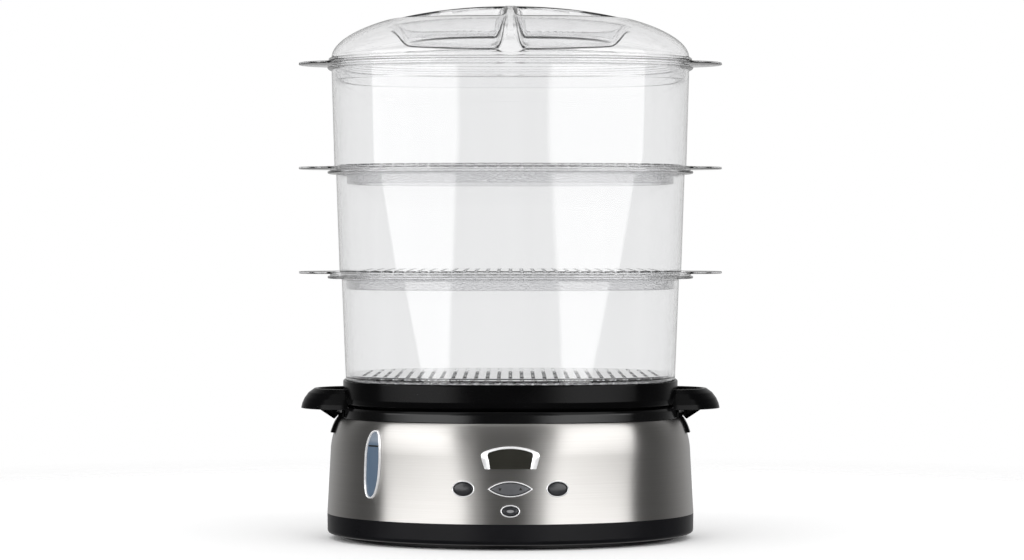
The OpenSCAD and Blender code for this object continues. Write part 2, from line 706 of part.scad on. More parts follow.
module basket(tier) {
    foot = wall_a[tier][0];
    head = wall_a[tier][1];
    z0 = rest_z(tier);
    rim = rim_z(tier);
    top = rim + rim_step;
    skirt = tier == 0 ? 120.6 : skirt_a;
    t = clear_wall;
    skin([ring(skirt, z0 - skirt_h), ring(skirt, z0), ring(foot, z0), ring(head, rim - 1.2),
        ring(rim_a, rim - 1), ring(rim_a, rim + 0.8), ring(lip_a, rim + 0.8), ring(lip_a, top - flange_t),
        ring(rim_a, top - flange_t), ring(rim_a, top), ring(lip_a - lip_t, top),
        ring(lip_a - lip_t, rim + 0.8), ring(head - t, rim + 0.8), ring(foot - t, z0 + t),
        ring(skirt - t, z0 + t), ring(skirt - t, z0 - skirt_h)], looped = true);
    slotted_floor(foot - t / 2, z0 + floor_rise);
    rim_tabs(top - flange_t);
}

module bottom_basket() color([0.85, 0.87, 0.9, 0.4]) basket(0);
module middle_basket() color([0.85, 0.87, 0.9, 0.4]) basket(1);
module top_basket() color([0.85, 0.87, 0.9, 0.4]) basket(2);

// ---- Lid ----

// Dome, lowered and drawn in by a wall's thickness
module dome_solid(drop) {
    skin([ring(dome_a * 0.75 - drop, dish_floor_z - 12), for (share = [0.75, 0.62, 0.48, 0.32, 0.16, 0.03])
        ring((dome_a - drop) * share, dome_z(share) - drop)]);
}

// Bar across the dish to hold the lid by, with a rib across it
module grip_cross(half_bar, half_rib, end, low) {
    for (size = [[dish_a - end, half_bar], [half_rib, dish_a * plan_aspect - end]])
        translate([-size[0], -size[1], low]) cube([2 * size[0], 2 * size[1], 60]);
}

module lid() color([0.85, 0.87, 0.9, 0.4]) {
    t = lid_wall;
    outer_shares = [1, 0.97, 0.92, 0.85, 0.77];
    inner_shares = [0.75, 0.84, 0.91, 0.965, 1];
    edge = dish_a / dome_a;
    difference() {
        union() {
            skin([ring(4, dish_floor_z - 1 - t), ring(76, dish_floor_z - t), ring(85, dish_floor_z + 1),
                ring(dish_a - 1.4, dome_z(edge) - 3.6),
                for (share = inner_shares) ring((dome_a - t) * share, dome_z(share) - t),
                ring(128.2, lid_z0 - 2), ring(128, lid_z0 - 14.5), ring(130.2, lid_z0 - 14.5),
                ring(130.6, lid_z0),
                ring(rim_a - 0.9, lid_z0), ring(rim_a - 0.9, lid_z0 + 2), ring(dome_a, lid_z0 + 2.4),
                for (share = outer_shares) ring(dome_a * share, dome_z(share) + (share == 1 ? 0.1 : 0)),
                ring(dish_a, dome_z(edge)), ring(dish_a - 2.5, dome_z(edge) - 0.8),
                ring(84, dish_floor_z + 3), ring(77, dish_floor_z), ring(4, dish_floor_z - 1)]);
            intersection() {
                grip_cross(11, 7.5, 2.4, dish_floor_z - t - 1.4);
                dome_solid(0);
            }
        }
        intersection() {
            grip_cross(8.8, 5.3, 6, dish_floor_z - t - 4);
            dome_solid(t);
        }
    }
}

steel_shell();
base_collar();
bottom_housing();
bottom_plate();
rubber_feet();
base_screws();
water_tank();
steam_ring();
heater_plate();
heater_element();
heater_seal();
heater_clamp();
heater_screws();
thermostat();
thermal_fuse();
gauge_window();
gauge_bezel();
gauge_chamber();
gauge_seal();
display_lens();
display_bezel();
lcd_module();
left_button();
rocker_button();
right_button();
power_button();
left_button_ring();
rocker_ring();
right_button_ring();
power_button_ring();
control_panel();
control_board();
tact_switches();
buzzer();
panel_screws();
ribbon_cable();
power_board();
relay();
capacitor();
transformer();
terminal_block();
board_screws();
heater_leads();
cord_gland();
drip_tray();
bottom_basket();
middle_basket();
top_basket();
lid();
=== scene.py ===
import json
import math
import bpy
import numpy as np
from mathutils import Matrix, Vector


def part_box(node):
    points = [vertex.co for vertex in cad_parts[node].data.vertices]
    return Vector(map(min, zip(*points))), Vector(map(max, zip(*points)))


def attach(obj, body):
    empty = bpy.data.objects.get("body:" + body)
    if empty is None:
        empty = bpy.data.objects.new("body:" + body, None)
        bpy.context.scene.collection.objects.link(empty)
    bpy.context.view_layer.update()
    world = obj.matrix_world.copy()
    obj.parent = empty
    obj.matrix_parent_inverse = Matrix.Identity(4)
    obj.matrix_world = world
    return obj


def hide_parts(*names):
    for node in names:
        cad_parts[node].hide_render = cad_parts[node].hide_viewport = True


# Electric food steamer: brushed steel base, black drip tray, three clear baskets and a clear domed lid.
# Sizes are in millimetres and become metres in the meshes.

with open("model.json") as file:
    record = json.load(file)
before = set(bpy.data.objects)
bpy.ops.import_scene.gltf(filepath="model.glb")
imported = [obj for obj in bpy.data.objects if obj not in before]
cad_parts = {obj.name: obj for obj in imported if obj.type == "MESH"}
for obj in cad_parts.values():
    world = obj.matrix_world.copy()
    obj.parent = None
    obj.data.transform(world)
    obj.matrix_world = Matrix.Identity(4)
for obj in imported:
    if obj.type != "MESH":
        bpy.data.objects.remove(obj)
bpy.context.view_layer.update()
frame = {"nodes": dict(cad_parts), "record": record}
nodes = frame["nodes"]
mm = 0.001
turn = 2 * math.pi
scene = bpy.context.scene
sides = ((1, "right"), (-1, "left"))
print("steamer: frame loaded with", len(nodes), "nodes")

studio = {
    "lens": 124.2, "cameraX": 0.0012, "cameraAway": 2.65, "cameraHigh": 0.2306, "tiltDown": 0.811,
    "floorRadius": 1.0, "floorFade": 0.35, "floorColor": (0.95, 0.95, 0.95), "floorSides": 96,
    # Backdrop, the duller level that clear plastic sees overhead, and the light that falls on dull surfaces
    "backdrop": 1.0, "ceiling": 0.72, "ceilingSpan": (20, 45), "fill": 1.12,
    # The dim room that gloss sees, how much paler it is behind the object, and the light straight above
    "roomGrey": 0.095, "roomBehind": 0.34, "behindSpan": (96, 165), "behindHigh": (60, 20),
    "topLight": 0.7, "topSpan": (55, 80),
    # Two upright soft boxes beside the camera, in degrees: shift, outer edge, inner edge above and below the
    # eye's level, foot, top, how far the edges close in for each degree below the foot, and their soft width
    "boxShift": -2.5, "boxOuter": 74, "boxInner": 20, "innerLow": 8.5, "innerSpan": (1.5, -0.5),
    "boxFoot": -1.4, "boxTop": 62, "topFade": 12, "closeInner": 1.3, "closeOuter": 8.5, "fade": 3,
    # Brightness of the boxes, and the share of it that is left high up
    "boxLight": 4.3, "highLight": 0.22, "dimSpan": (8, 35),
}


def addObject(name, data):
    made = bpy.data.objects.new(name, data)
    scene.collection.objects.link(made)
    return made


def addCamera(plan):
    data = bpy.data.cameras.new("camera")
    data.lens = plan["lens"]
    data.clip_start, data.clip_end = 0.1, 100
    camera = addObject("camera", data)
    camera.location = (plan["cameraX"], -plan["cameraAway"], plan["cameraHigh"])
    camera.rotation_euler = (math.radians(90 - plan["tiltDown"]), 0, 0)
    scene.camera = camera


def setInputs(node, values):
    # By name or number; another node's output is linked, a plain value is set
    for key, value in dict(values).items():
        if isinstance(value, bpy.types.NodeSocket):
            node.id_data.links.new(value, node.inputs[key])
        else:
            node.inputs[key].default_value = value


def newNode(tree, kind, values=()):
    node = tree.nodes.new("ShaderNode" + kind)
    setInputs(node, values)
    return node


def mathNode(tree, kind, *values):
    node = newNode(tree, "Math")
    node.operation = kind
    setInputs(node, enumerate(values))
    return node.outputs[0]


def ramp(tree, value, low, high):
    # 0 below low, 1 above high, smooth between them; high may be the smaller one
    step = newNode(tree, "MapRange", {"Value": value, "From Min": low, "From Max": high})
    step.interpolation_type = "SMOOTHSTEP"
    return step.outputs[0]


def addRoomLight(plan):
    # Gloss sees a dim room with two tall soft boxes; the eye and clear plastic see the pale backdrop
    world = bpy.data.worlds.new("studioRoom")
    scene.world = world
    world.use_nodes = True
    tree = world.node_tree
    way = newNode(tree, "TexCoord").outputs["Generated"]
    east, north, up = newNode(tree, "SeparateXYZ", {0: way}).outputs

    def calc(kind, *values):
        return mathNode(tree, kind, *values)

    def rise(value, low, high):
        return ramp(tree, value, low, high)

    def pick(level, other, chosen):
        return newNode(tree, "Mix", {"Factor": chosen, "A": level, "B": other}).outputs[0]

    # Degrees to the side of the camera, and above the horizon
    toDegrees = 180 / math.pi
    side = calc("MULTIPLY", calc("ARCTAN2", east, calc("MULTIPLY", north, -1)), toDegrees)
    side = calc("ABSOLUTE", calc("SUBTRACT", side, plan["boxShift"]))
    height = calc("MULTIPLY", calc("ARCSINE", up), toDegrees)
    below = calc("MAXIMUM", calc("SUBTRACT", plan["boxFoot"], height), 0)
    lower = rise(height, *plan["innerSpan"])
    inner = calc("MULTIPLY_ADD", lower, plan["innerLow"] - plan["boxInner"], plan["boxInner"])
    inner = calc("MULTIPLY_ADD", below, plan["closeInner"], inner)
    outer = calc("MULTIPLY_ADD", below, -plan["closeOuter"], plan["boxOuter"])
    past = rise(side, inner, calc("ADD", inner, plan["fade"]))
    short = rise(side, calc("ADD", outer, plan["fade"]), outer)
    under = rise(height, plan["boxTop"] + plan["topFade"], plan["boxTop"])
    box = calc("MULTIPLY", calc("MULTIPLY", past, short), under)
    weaker = calc("MULTIPLY_ADD", rise(height, *plan["dimSpan"]), plan["highLight"] - 1, 1.0)
    box = calc("MULTIPLY", box, weaker)
    top = calc("MULTIPLY", rise(height, *plan["topSpan"]), plan["topLight"])
    behind = calc("MULTIPLY", rise(side, *plan["behindSpan"]), plan["roomBehind"])
    room = calc("ADD", calc("MULTIPLY_ADD", box, plan["boxLight"], plan["roomGrey"]), top)
    room = calc("MULTIPLY_ADD", behind, rise(height, *plan["behindHigh"]), room)
    overhead = rise(height, *plan["ceilingSpan"])
    seen = calc("MULTIPLY_ADD", overhead, plan["ceiling"] - plan["backdrop"], plan["backdrop"])
    path = newNode(tree, "LightPath").outputs
    level = pick(room, plan["fill"], path["Is Diffuse Ray"])
    level = pick(level, seen, path["Is Transmission Ray"])
    level = pick(level, plan["backdrop"], path["Is Camera Ray"])
    setInputs(tree.nodes["Background"], {"Color": (1, 1, 1, 1), "Strength": level})


def newFinish(name, color, roughness, metallic=0.0, clear=False):
    material = bpy.data.materials.new(name)
    material.use_nodes = True
    shader = material.node_tree.nodes["Principled BSDF"]
    setInputs(shader, {"Base Color": (*color, 1), "Roughness": roughness, "Metallic": metallic})
    if clear:
        setInputs(shader, {"Transmission Weight": 1.0, "IOR": 1.47})
    return material, material.node_tree, shader


def evenTurn(count):
    # Angles of count equal steps round a full turn
    return np.arange(count) * turn / count


def spotsAt(x, y, z):
    # Points from coordinates whose tables may differ in shape
    return np.stack(np.broadcast_arrays(x, y, z), -1)


def roundSpots(reach, angles, z):
    # Points at a reach from the upright axis, at the given angles and heights
    return spotsAt(reach * np.cos(angles), reach * np.sin(angles), z)


def addFloor(plan):
    # A round pale floor that fades out into the backdrop
    count = plan["floorSides"]
    angles = evenTurn(count)
    rings = np.array([0.0005, 1.0])[:, None] * plan["floorRadius"]
    spots = roundSpots(rings, angles, 0)
    mesh = bpy.data.meshes.new("floor")
    faces = [(j, count + j, count + (j + 1) % count, (j + 1) % count) for j in range(count)]
    mesh.from_pydata(spots.reshape(-1, 3).tolist(), [], faces + [tuple(range(count))])
    floor = addObject("floor", mesh)
    material, tree, shader = newFinish("paleFloor", plan["floorColor"], 0.8)
    far = newNode(tree, "VectorMath", {0: newNode(tree, "TexCoord").outputs["Object"]})
    far.operation = "LENGTH"
    solid = ramp(tree, far.outputs["Value"], plan["floorRadius"] * 0.97, plan["floorFade"])
    setInputs(shader, {"Specular IOR Level": 0.0, "Alpha": solid})
    mesh.materials.append(material)
    # The gloss of the object sees the dim room, not the bright floor
    floor.visible_glossy = False


addCamera(studio)
addRoomLight(studio)
addFloor(studio)
scene.view_settings.view_transform = "Standard"
scene.cycles.max_bounces = 24
scene.cycles.transmission_bounces = 24
scene.cycles.transparent_max_bounces = 16
print("steamer: studio ready")


def meshFrom(name, points, faces, sharp=40):
    # Points in millimetres; edges sharper than the given angle stay crisp
    mesh = bpy.data.meshes.new(name)
    mesh.from_pydata((np.asarray(points, float) * mm).tolist(), [], faces)
    mesh.polygons.foreach_set("use_smooth", np.ones(len(mesh.polygons), bool))
    mesh.set_sharp_from_angle(angle=math.radians(sharp))
    mesh.update()
    return mesh


def gridFaces(index, loopRows, loopCols):
    # Quads between neighbouring rows and columns of a table of vertex numbers
    if loopRows:
        index = np.vstack([index, index[:1]])
    if loopCols:
        index = np.hstack([index, index[:, :1]])
    corners = (index[:-1, :-1], index[:-1, 1:], index[1:, 1:], index[1:, :-1])
    return np.stack(corners, -1).reshape(-1, 4).tolist()


def gridPart(points, loopRows=True, loopCols=True):
    # points[row, column] = (x, y, z); caps close the first and last column or row where they don't loop
    rows, cols = points.shape[:2]
    index = np.arange(rows * cols).reshape(rows, cols)
    faces = gridFaces(index, loopRows, loopCols)
    if not loopCols:
        faces += [index[:, 0].tolist(), index[::-1, -1].tolist()]
    elif not loopRows:
        faces += [index[0, ::-1].tolist(), index[-1].tolist()]
    return points.reshape(-1, 3), faces


def joinedMesh(name, parts):
    # Several closed parts in one mesh
    points, faces, start = [], [], 0
    for spots, polygons in parts:
        points.append(spots)
        faces += [[corner + start for corner in polygon] for polygon in polygons]
        start += len(spots)
    return meshFrom(name, np.concatenate(points), faces)


def softCorners(corners, steps=5, closed=True):
    # Corner (across, up, radius, ...) becomes B(t) = (1-t)^2 A + 2t(1-t) C + t^2 B between its two edges
    table = np.array(corners, float)
    spots = np.delete(table, 2, 1)
    before, after = np.roll(spots, 1, 0) - spots, np.roll(spots, -1, 0) - spots
    toBefore, toAfter = np.linalg.norm(before[:, :2], axis=1), np.linalg.norm(after[:, :2], axis=1)
    cosine = (before[:, :2] * after[:, :2]).sum(1) / (toBefore * toAfter)
    half = np.arccos(np.clip(cosine, -0.9999, 0.9999)) / 2
    reach = np.minimum(table[:, 2] / np.tan(half), 0.48 * np.minimum(toBefore, toAfter))
    if not closed:
        reach[[0, -1]] = 0
    start = spots + before * (reach / toBefore)[:, None]
    end = spots + after * (reach / toAfter)[:, None]
    t = np.linspace(0, 1, steps)[:, None, None]
    curve = (1 - t) ** 2 * start + 2 * t * (1 - t) * spots + t ** 2 * end
    line = curve.transpose(1, 0, 2).reshape(-1, spots.shape[1])
    apart = np.linalg.norm(np.diff(line[:, :2], axis=0), axis=1)
    return heldFlat(line[np.concatenate([[True], apart > 1e-4])], closed)


def heldFlat(line, closed, shortest=1.6, inset=0.35):
    # Two more points near the ends of each long straight run keep its shading flat beside a soft corner
    step = np.roll(line, -1, 0) - line
    length = np.linalg.norm(step[:, :2], axis=1)
    isLong = length > shortest
    if not closed:
        isLong[-1] = False
    share = (inset / np.maximum(length, shortest))[:, None]
    table = np.stack([line, line + step * share, line + step * (1 - share)], 1)
    return table[np.stack([np.ones_like(isLong), isLong, isLong], 1)]


def ovalLine(corners, plan, closed=True):
    # Soft corners that all lie on the plan's own oval
    return softCorners([(*corner, *plan["oval"]) for corner in corners], closed=closed)


def ovalReach(angles, a, aspect, power):
    # r = a (|cos|^n + |sin / aspect|^n)^(-1/n)
    c, s = np.abs(np.cos(angles)), np.abs(np.sin(angles)) / aspect
    return a * (c ** power + s ** power) ** (-1 / power)


def ovalBand(profile, columns=256, widen=None):
    # Profile rows (a, z, aspect, power) carried round an oval; widen may change the reach of each point
    angles = evenTurn(columns)
    a, z, aspect, power = (profile[:, i, None] for i in range(4))
    reach = ovalReach(angles, a, aspect, power)
    if widen:
        reach = widen(reach, a, z, angles)
    return gridPart(roundSpots(reach, angles, z))


def softMax(first, second, blend):
    # Larger of two values, with a fillet of the given width where they cross
    near = np.clip(blend - np.abs(first - second), 0, None) / blend
    return np.maximum(first, second) + near ** 2 * blend / 4


def lastInside(shape, low, high, inside, halvings=30):
    # Halving the span again and again finds the farthest value that is still inside
    low, high = np.full(shape, float(low)), np.full(shape, float(high))
    for _ in range(halvings):
        middle = (low + high) / 2
        kept = inside(middle)
        low, high = np.where(kept, middle, low), np.where(kept, high, middle)
    return low


def onSide(points, side):
    # The right one as it is; the left one turned half a turn round the upright axis
    return points * np.array([side, side, 1])


def patternNoise(tree, scale, stretch=(1, 1, 1), detail=3.0):
    # Noise over the object's own coordinates; a small stretch value draws the pattern out along that axis
    place = newNode(tree, "TexCoord").outputs["Object"]
    mapping = newNode(tree, "Mapping", {"Vector": place, "Scale": stretch})
    noise = newNode(tree, "TexNoise", {"Vector": mapping.outputs[0], "Scale": scale, "Detail": detail})
    return noise.outputs[0]


def drive(tree, value, socket, low, high):
    # Noise of 0.3 to 0.7 becomes low to high
    ends = {"From Min": 0.3, "From Max": 0.7, "To Min": low, "To Max": high}
    tree.links.new(newNode(tree, "MapRange", {"Value": value, **ends}).outputs[0], socket)


def shades(tree, shader, dark, light):
    # Base colour between two shades; what feeds the returned socket chooses
    mix = newNode(tree, "Mix")
    mix.data_type = "RGBA"
    setInputs(mix, {"A": (*dark, 1), "B": (*light, 1)})
    setInputs(shader, {"Base Color": mix.outputs["Result"]})
    return mix.inputs["Factor"]


def relief(tree, shader, value, height, strength=1.0):
    # Bump of a real height in millimetres
    bump = newNode(tree, "Bump", {"Strength": strength, "Distance": height * mm, "Height": value})
    setInputs(shader, {"Normal": bump.outputs[0]})


def brushedSteel(name):
    # Fine horizontal brushing: quick changes in height, slow ones round the base
    material, tree, shader = newFinish(name, (0.62, 0.61, 0.6), 0.3, 1.0)
    lines = patternNoise(tree, 1.0, (14, 14, 3600), 2)
    clouds = patternNoise(tree, 14, (1, 1, 2), 2)
    drive(tree, lines, shader.inputs["Roughness"], 0.34, 0.39)
    mixed = mathNode(tree, "MULTIPLY_ADD", clouds, 0.3, mathNode(tree, "MULTIPLY", lines, 0.7))
    drive(tree, mixed, shades(tree, shader, (0.565, 0.55, 0.53), (0.635, 0.621, 0.603)), 0, 1)
    relief(tree, shader, lines, 0.0015, 0.5)
    tangent = newNode(tree, "Tangent")
    tangent.direction_type, tangent.axis = "RADIAL", "Z"
    setInputs(shader, {"Anisotropic": 0.97, "Anisotropic Rotation": 0.25, "Tangent": tangent.outputs[0]})
    return material


def mouldedPlastic(name, dark, light, rough, grain=0.8, height=0.01, gloss=0.5):
    # Moulded surface: cloudy colour, roughness that drifts a little, and a fine grain of the given size in mm
    material, tree, shader = newFinish(name, dark, rough[0])
    clouds = patternNoise(tree, 30, detail=4)
    drive(tree, clouds, shades(tree, shader, dark, light), 0, 1)
    drive(tree, clouds, shader.inputs["Roughness"], *rough)
    relief(tree, shader, patternNoise(tree, 1000 / grain, detail=2), height)
    setInputs(shader, {"Specular IOR Level": gloss})
    return material


def clearPlastic(name, color, streak=0.02):
    # Clear moulding with faint upright flow streaks
    material, tree, shader = newFinish(name, color, 0.02, clear=True)
    flow = patternNoise(tree, 60, (1, 1, 0.06), 2)
    drive(tree, patternNoise(tree, 240, (1, 1, 0.3), 2), shader.inputs["Roughness"], 0.0, 0.03)
    drive(tree, flow, shades(tree, shader, tuple(0.985 * c for c in color), color), 0, 1)
    relief(tree, shader, flow, streak)
    return material


def stippledPlastic(name, color, grain, height):
    # Clear moulding whose surface is dimpled all over, as under a basket's floor
    material, tree, shader = newFinish(name, color, 0.05, clear=True)
    dimples = patternNoise(tree, 1000 / grain, (1, 1, 1.6), 1)
    drive(tree, dimples, shader.inputs["Roughness"], 0.02, 0.12)
    drive(tree, dimples, shades(tree, shader, tuple(0.9 * c for c in color), color), 0, 1)
    relief(tree, shader, dimples, height)
    return material


def gaugeGlass(name, low, high):
    # Water-blue window that turns paler above the filling mark
    material, tree, shader = newFinish(name, (0.13, 0.18, 0.24), 0.1)
    split = newNode(tree, "SeparateXYZ", {0: newNode(tree, "TexCoord").outputs["Object"]})
    level = ramp(tree, split.outputs["Z"], low * mm, high * mm)
    shade = mathNode(tree, "MULTIPLY_ADD", patternNoise(tree, 90, (1, 1, 0.2), 2), 0.25, level)
    tree.links.new(shade, shades(tree, shader, (0.063, 0.095, 0.14), (0.17, 0.2, 0.24)))
    drive(tree, patternNoise(tree, 200), shader.inputs["Roughness"], 0.06, 0.16)
    setInputs(shader, {"Specular IOR Level": 0.35})
    return material


def metal(name, dark, light, rough, scale=900, height=0.004, metallic=1.0):
    # Fine even grain in colour, roughness and height
    material, tree, shader = newFinish(name, light, rough[0], metallic)
    fine = patternNoise(tree, scale)
    drive(tree, fine, shades(tree, shader, dark, light), 0, 1)
    drive(tree, fine, shader.inputs["Roughness"], *rough)
    relief(tree, shader, fine, height)
    return material


deepBlack = ((0.0012, 0.0012, 0.0013), (0.0022, 0.0022, 0.0024))
# Name, darker and lighter colour, roughness, size and height of the grain in mm, and specular level
mouldedFinishes = {
    "black_gloss": ("glossBlack", *deepBlack, (0.14, 0.2), 3, 0.002, 0.07),
    "collar_black": ("collarBlack", *deepBlack, (0.12, 0.18), 3, 0.002, 0.25),
    "black_satin": ("satinBlack", (0.0035, 0.0035, 0.0043), (0.006, 0.006, 0.0072), (0.26, 0.34), 0.7, 0.008,
                    0.1),
    "rubber_dark": ("footRubber", (0.018, 0.018, 0.018), (0.035, 0.034, 0.033), (0.6, 0.8), 0.5, 0.03),
    "tank_plastic": ("tankPlastic", (0.02, 0.02, 0.022), (0.03, 0.03, 0.032), (0.3, 0.42)),
    "ring_plastic": ("steamRingPlastic", (0.5, 0.5, 0.49), (0.6, 0.6, 0.585), (0.3, 0.45)),
    "silicone": ("sealSilicone", (0.45, 0.43, 0.4), (0.55, 0.53, 0.5), (0.5, 0.62), 0.6, 0.01),
    "ceramic": ("switchCeramic", (0.7, 0.68, 0.62), (0.8, 0.78, 0.73), (0.35, 0.5), 0.5, 0.01),
    "display_dark": ("displayWindow", (0.013, 0.0125, 0.01), (0.02, 0.0195, 0.016), (0.08, 0.14), 4, 0.001,
                     0.3),
    "lcd_grey": ("lcdGlass", (0.16, 0.18, 0.16), (0.22, 0.24, 0.21), (0.15, 0.25), 2, 0.002),
    "button_grey": ("buttonCaps", (0.012, 0.0124, 0.014), (0.026, 0.0265, 0.029), (0.16, 0.26), 1.5, 0.003,
                    0.35),
    "rocker_grey": ("rockerCap", (0.055, 0.056, 0.06), (0.09, 0.091, 0.096), (0.2, 0.3), 1.5, 0.003),
    "cap_centre": ("capCentre", (0.13, 0.13, 0.135), (0.2, 0.2, 0.205), (0.22, 0.32), 1.5, 0.003),
    "panel_plastic": ("panelPlastic", (0.03, 0.03, 0.03), (0.05, 0.05, 0.05), (0.4, 0.55), 0.7, 0.012),
    "board_green": ("boardGreen", (0.01, 0.07, 0.03), (0.02, 0.13, 0.06), (0.28, 0.4), 1.2, 0.01),
    "switch_black": ("switchBlack", (0.015, 0.015, 0.015), (0.03, 0.03, 0.03), (0.35, 0.5), 0.6, 0.01),
    "cable_grey": ("ribbonGrey", (0.3, 0.3, 0.31), (0.42, 0.42, 0.43), (0.4, 0.55)),
    "relay_blue": ("relayBlue", (0.02, 0.07, 0.3), (0.04, 0.11, 0.4), (0.3, 0.42), 0.8, 0.008),
    "sleeve_blue": ("capacitorSleeve", (0.01, 0.02, 0.07), (0.02, 0.035, 0.11), (0.25, 0.35), 0.8, 0.008),
    "coil_yellow": ("transformerTape", (0.55, 0.42, 0.05), (0.7, 0.54, 0.09), (0.35, 0.5), 1.0, 0.015),
    "terminal_green": ("terminalGreen", (0.03, 0.2, 0.06), (0.05, 0.28, 0.09), (0.35, 0.5)),
    "lead_red": ("leadSleeve", (0.45, 0.02, 0.015), (0.6, 0.04, 0.03), (0.45, 0.6), 0.6, 0.012),
}
finishes = {
    **{slot: mouldedPlastic(*values) for slot, values in mouldedFinishes.items()},
    "brushed_steel": brushedSteel("brushedSteel"),
    "screw_steel": metal("screwSteel", (0.42, 0.41, 0.4), (0.6, 0.59, 0.57), (0.25, 0.42)),
    "heater_metal": metal("castHeater", (0.4, 0.4, 0.4), (0.62, 0.61, 0.6), (0.35, 0.55), 500, 0.02),
    "element_metal": metal("elementSheath", (0.2, 0.18, 0.16), (0.36, 0.33, 0.3), (0.4, 0.6), 700, 0.01),
    "chrome_trim": metal("silverTrim", (0.8, 0.8, 0.81), (0.9, 0.9, 0.91), (0.16, 0.26), 300, 0.001, 0.5),
    "clear_plastic": clearPlastic("clearPlastic", (0.925, 0.927, 0.93)),
    "clear_rim": clearPlastic("clearRim", (0.965, 0.966, 0.97)),
    "clear_lid": clearPlastic("clearLid", (0.985, 0.985, 0.988)),
    "clear_stippled": stippledPlastic("clearStippled", (0.88, 0.88, 0.89), 1.6, 0.25),
    "gauge_clear": gaugeGlass("gaugeWindow", 74, 79),
}
print("steamer: finishes ready")


def addPiece(name, body, slot, shape, replaced=(), finish=None):
    # The shape is a mesh or a list of closed parts; the finish is the slot's own one unless another is named
    mesh = joinedMesh(name, shape) if isinstance(shape, list) else shape
    piece = addObject(name, mesh)
    mesh.materials.append(finishes[finish or slot])
    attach(piece, body)
    if replaced:
        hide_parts(*replaced)
    return piece


basketPlan = {
    "names": ["bottom_basket", "middle_basket", "top_basket"], "oval": (234 / 273, 2.7),
    "foot": [123, 127.5, 131.3], "head": [126, 130.1, 133.5], "skirt": [120.6, 122.6, 122.6], "skirtDrop": 10,
    "wall": 2.2, "rimHalf": 136.5, "rimStep": 4.1, "rimUp": 0.8, "rimDown": 1, "flange": 1.6,
    "lipHalf": 134.8, "lipWall": 2.2, "columns": 384,
    "tabMiddle": 110.5, "tabReach": 48, "tabDepth": 46, "tabPower": 2.3, "tabFillet": 3.5, "farthest": 170,
    "dimpleTop": 1.2, "paleFrom": 1.4, "floorGap": 0.25, "floorRise": 2.4, "floorThick": 1.8,
    "floorEdge": 0.25, "floorMargin": 6, "slotWide": 2.6, "slotPitch": 8.3, "slotMargin": 9, "webWide": 9,
}


def tabReach(angles, plan):
    # Outer reach of an oval round (m, 0), where |(x-m)/a|^n + |y/b|^n = 1
    def inside(reach):
        across = np.abs(reach * np.abs(np.cos(angles)) - plan["tabMiddle"]) / plan["tabReach"]
        deep = np.abs(reach * np.sin(angles)) / plan["tabDepth"]
        return across ** plan["tabPower"] + deep ** plan["tabPower"] < 1

    reach = lastInside(angles.shape, plan["tabMiddle"] / 2, plan["farthest"], inside)
    return np.where(reach < plan["tabMiddle"], 0, reach)


def basketBand(plan, tier, rest, top):
    # Wall profile up the outside, over the double rim and down the inside, with tabs on the upper rim
    foot, head, skirt, wall = plan["foot"][tier], plan["head"][tier], plan["skirt"][tier], plan["wall"]
    rim, rimHalf, lip = top - plan["rimStep"], plan["rimHalf"], plan["lipHalf"]
    low, high, flange = rim - plan["rimDown"], rim + plan["rimUp"], top - plan["flange"]
    inner, hem = lip - plan["lipWall"], rest - plan["skirtDrop"]
    corners = [
        (skirt, hem, 0.7), (skirt, rest, 0.3), (foot, rest, 0.7), (head, low - 0.2, 0.9),
        (rimHalf, low, 0.7), (rimHalf, high, 0.7), (lip, high, 0.3), (lip, flange, 0.3),
        (rimHalf, flange, 0.6), (rimHalf, top, 0.6), (inner, top, 0.6), (inner, high, 0.3),
        (head - wall, high, 0.6), (foot - wall, rest + wall, 0.5), (skirt - wall, rest + wall, 0.4),
        (skirt - wall, hem, 0.7)]

    def growTabs(reach, a, z, angles):
        outer = (a > lip + 0.4) & (z > flange - 0.01)
        tab = tabReach(angles, plan)[None, :] - (rimHalf - a)
        return np.where(outer, softMax(reach, tab, plan["tabFillet"]), reach)

    return ovalBand(ovalLine(corners, plan), plan["columns"], growTabs)


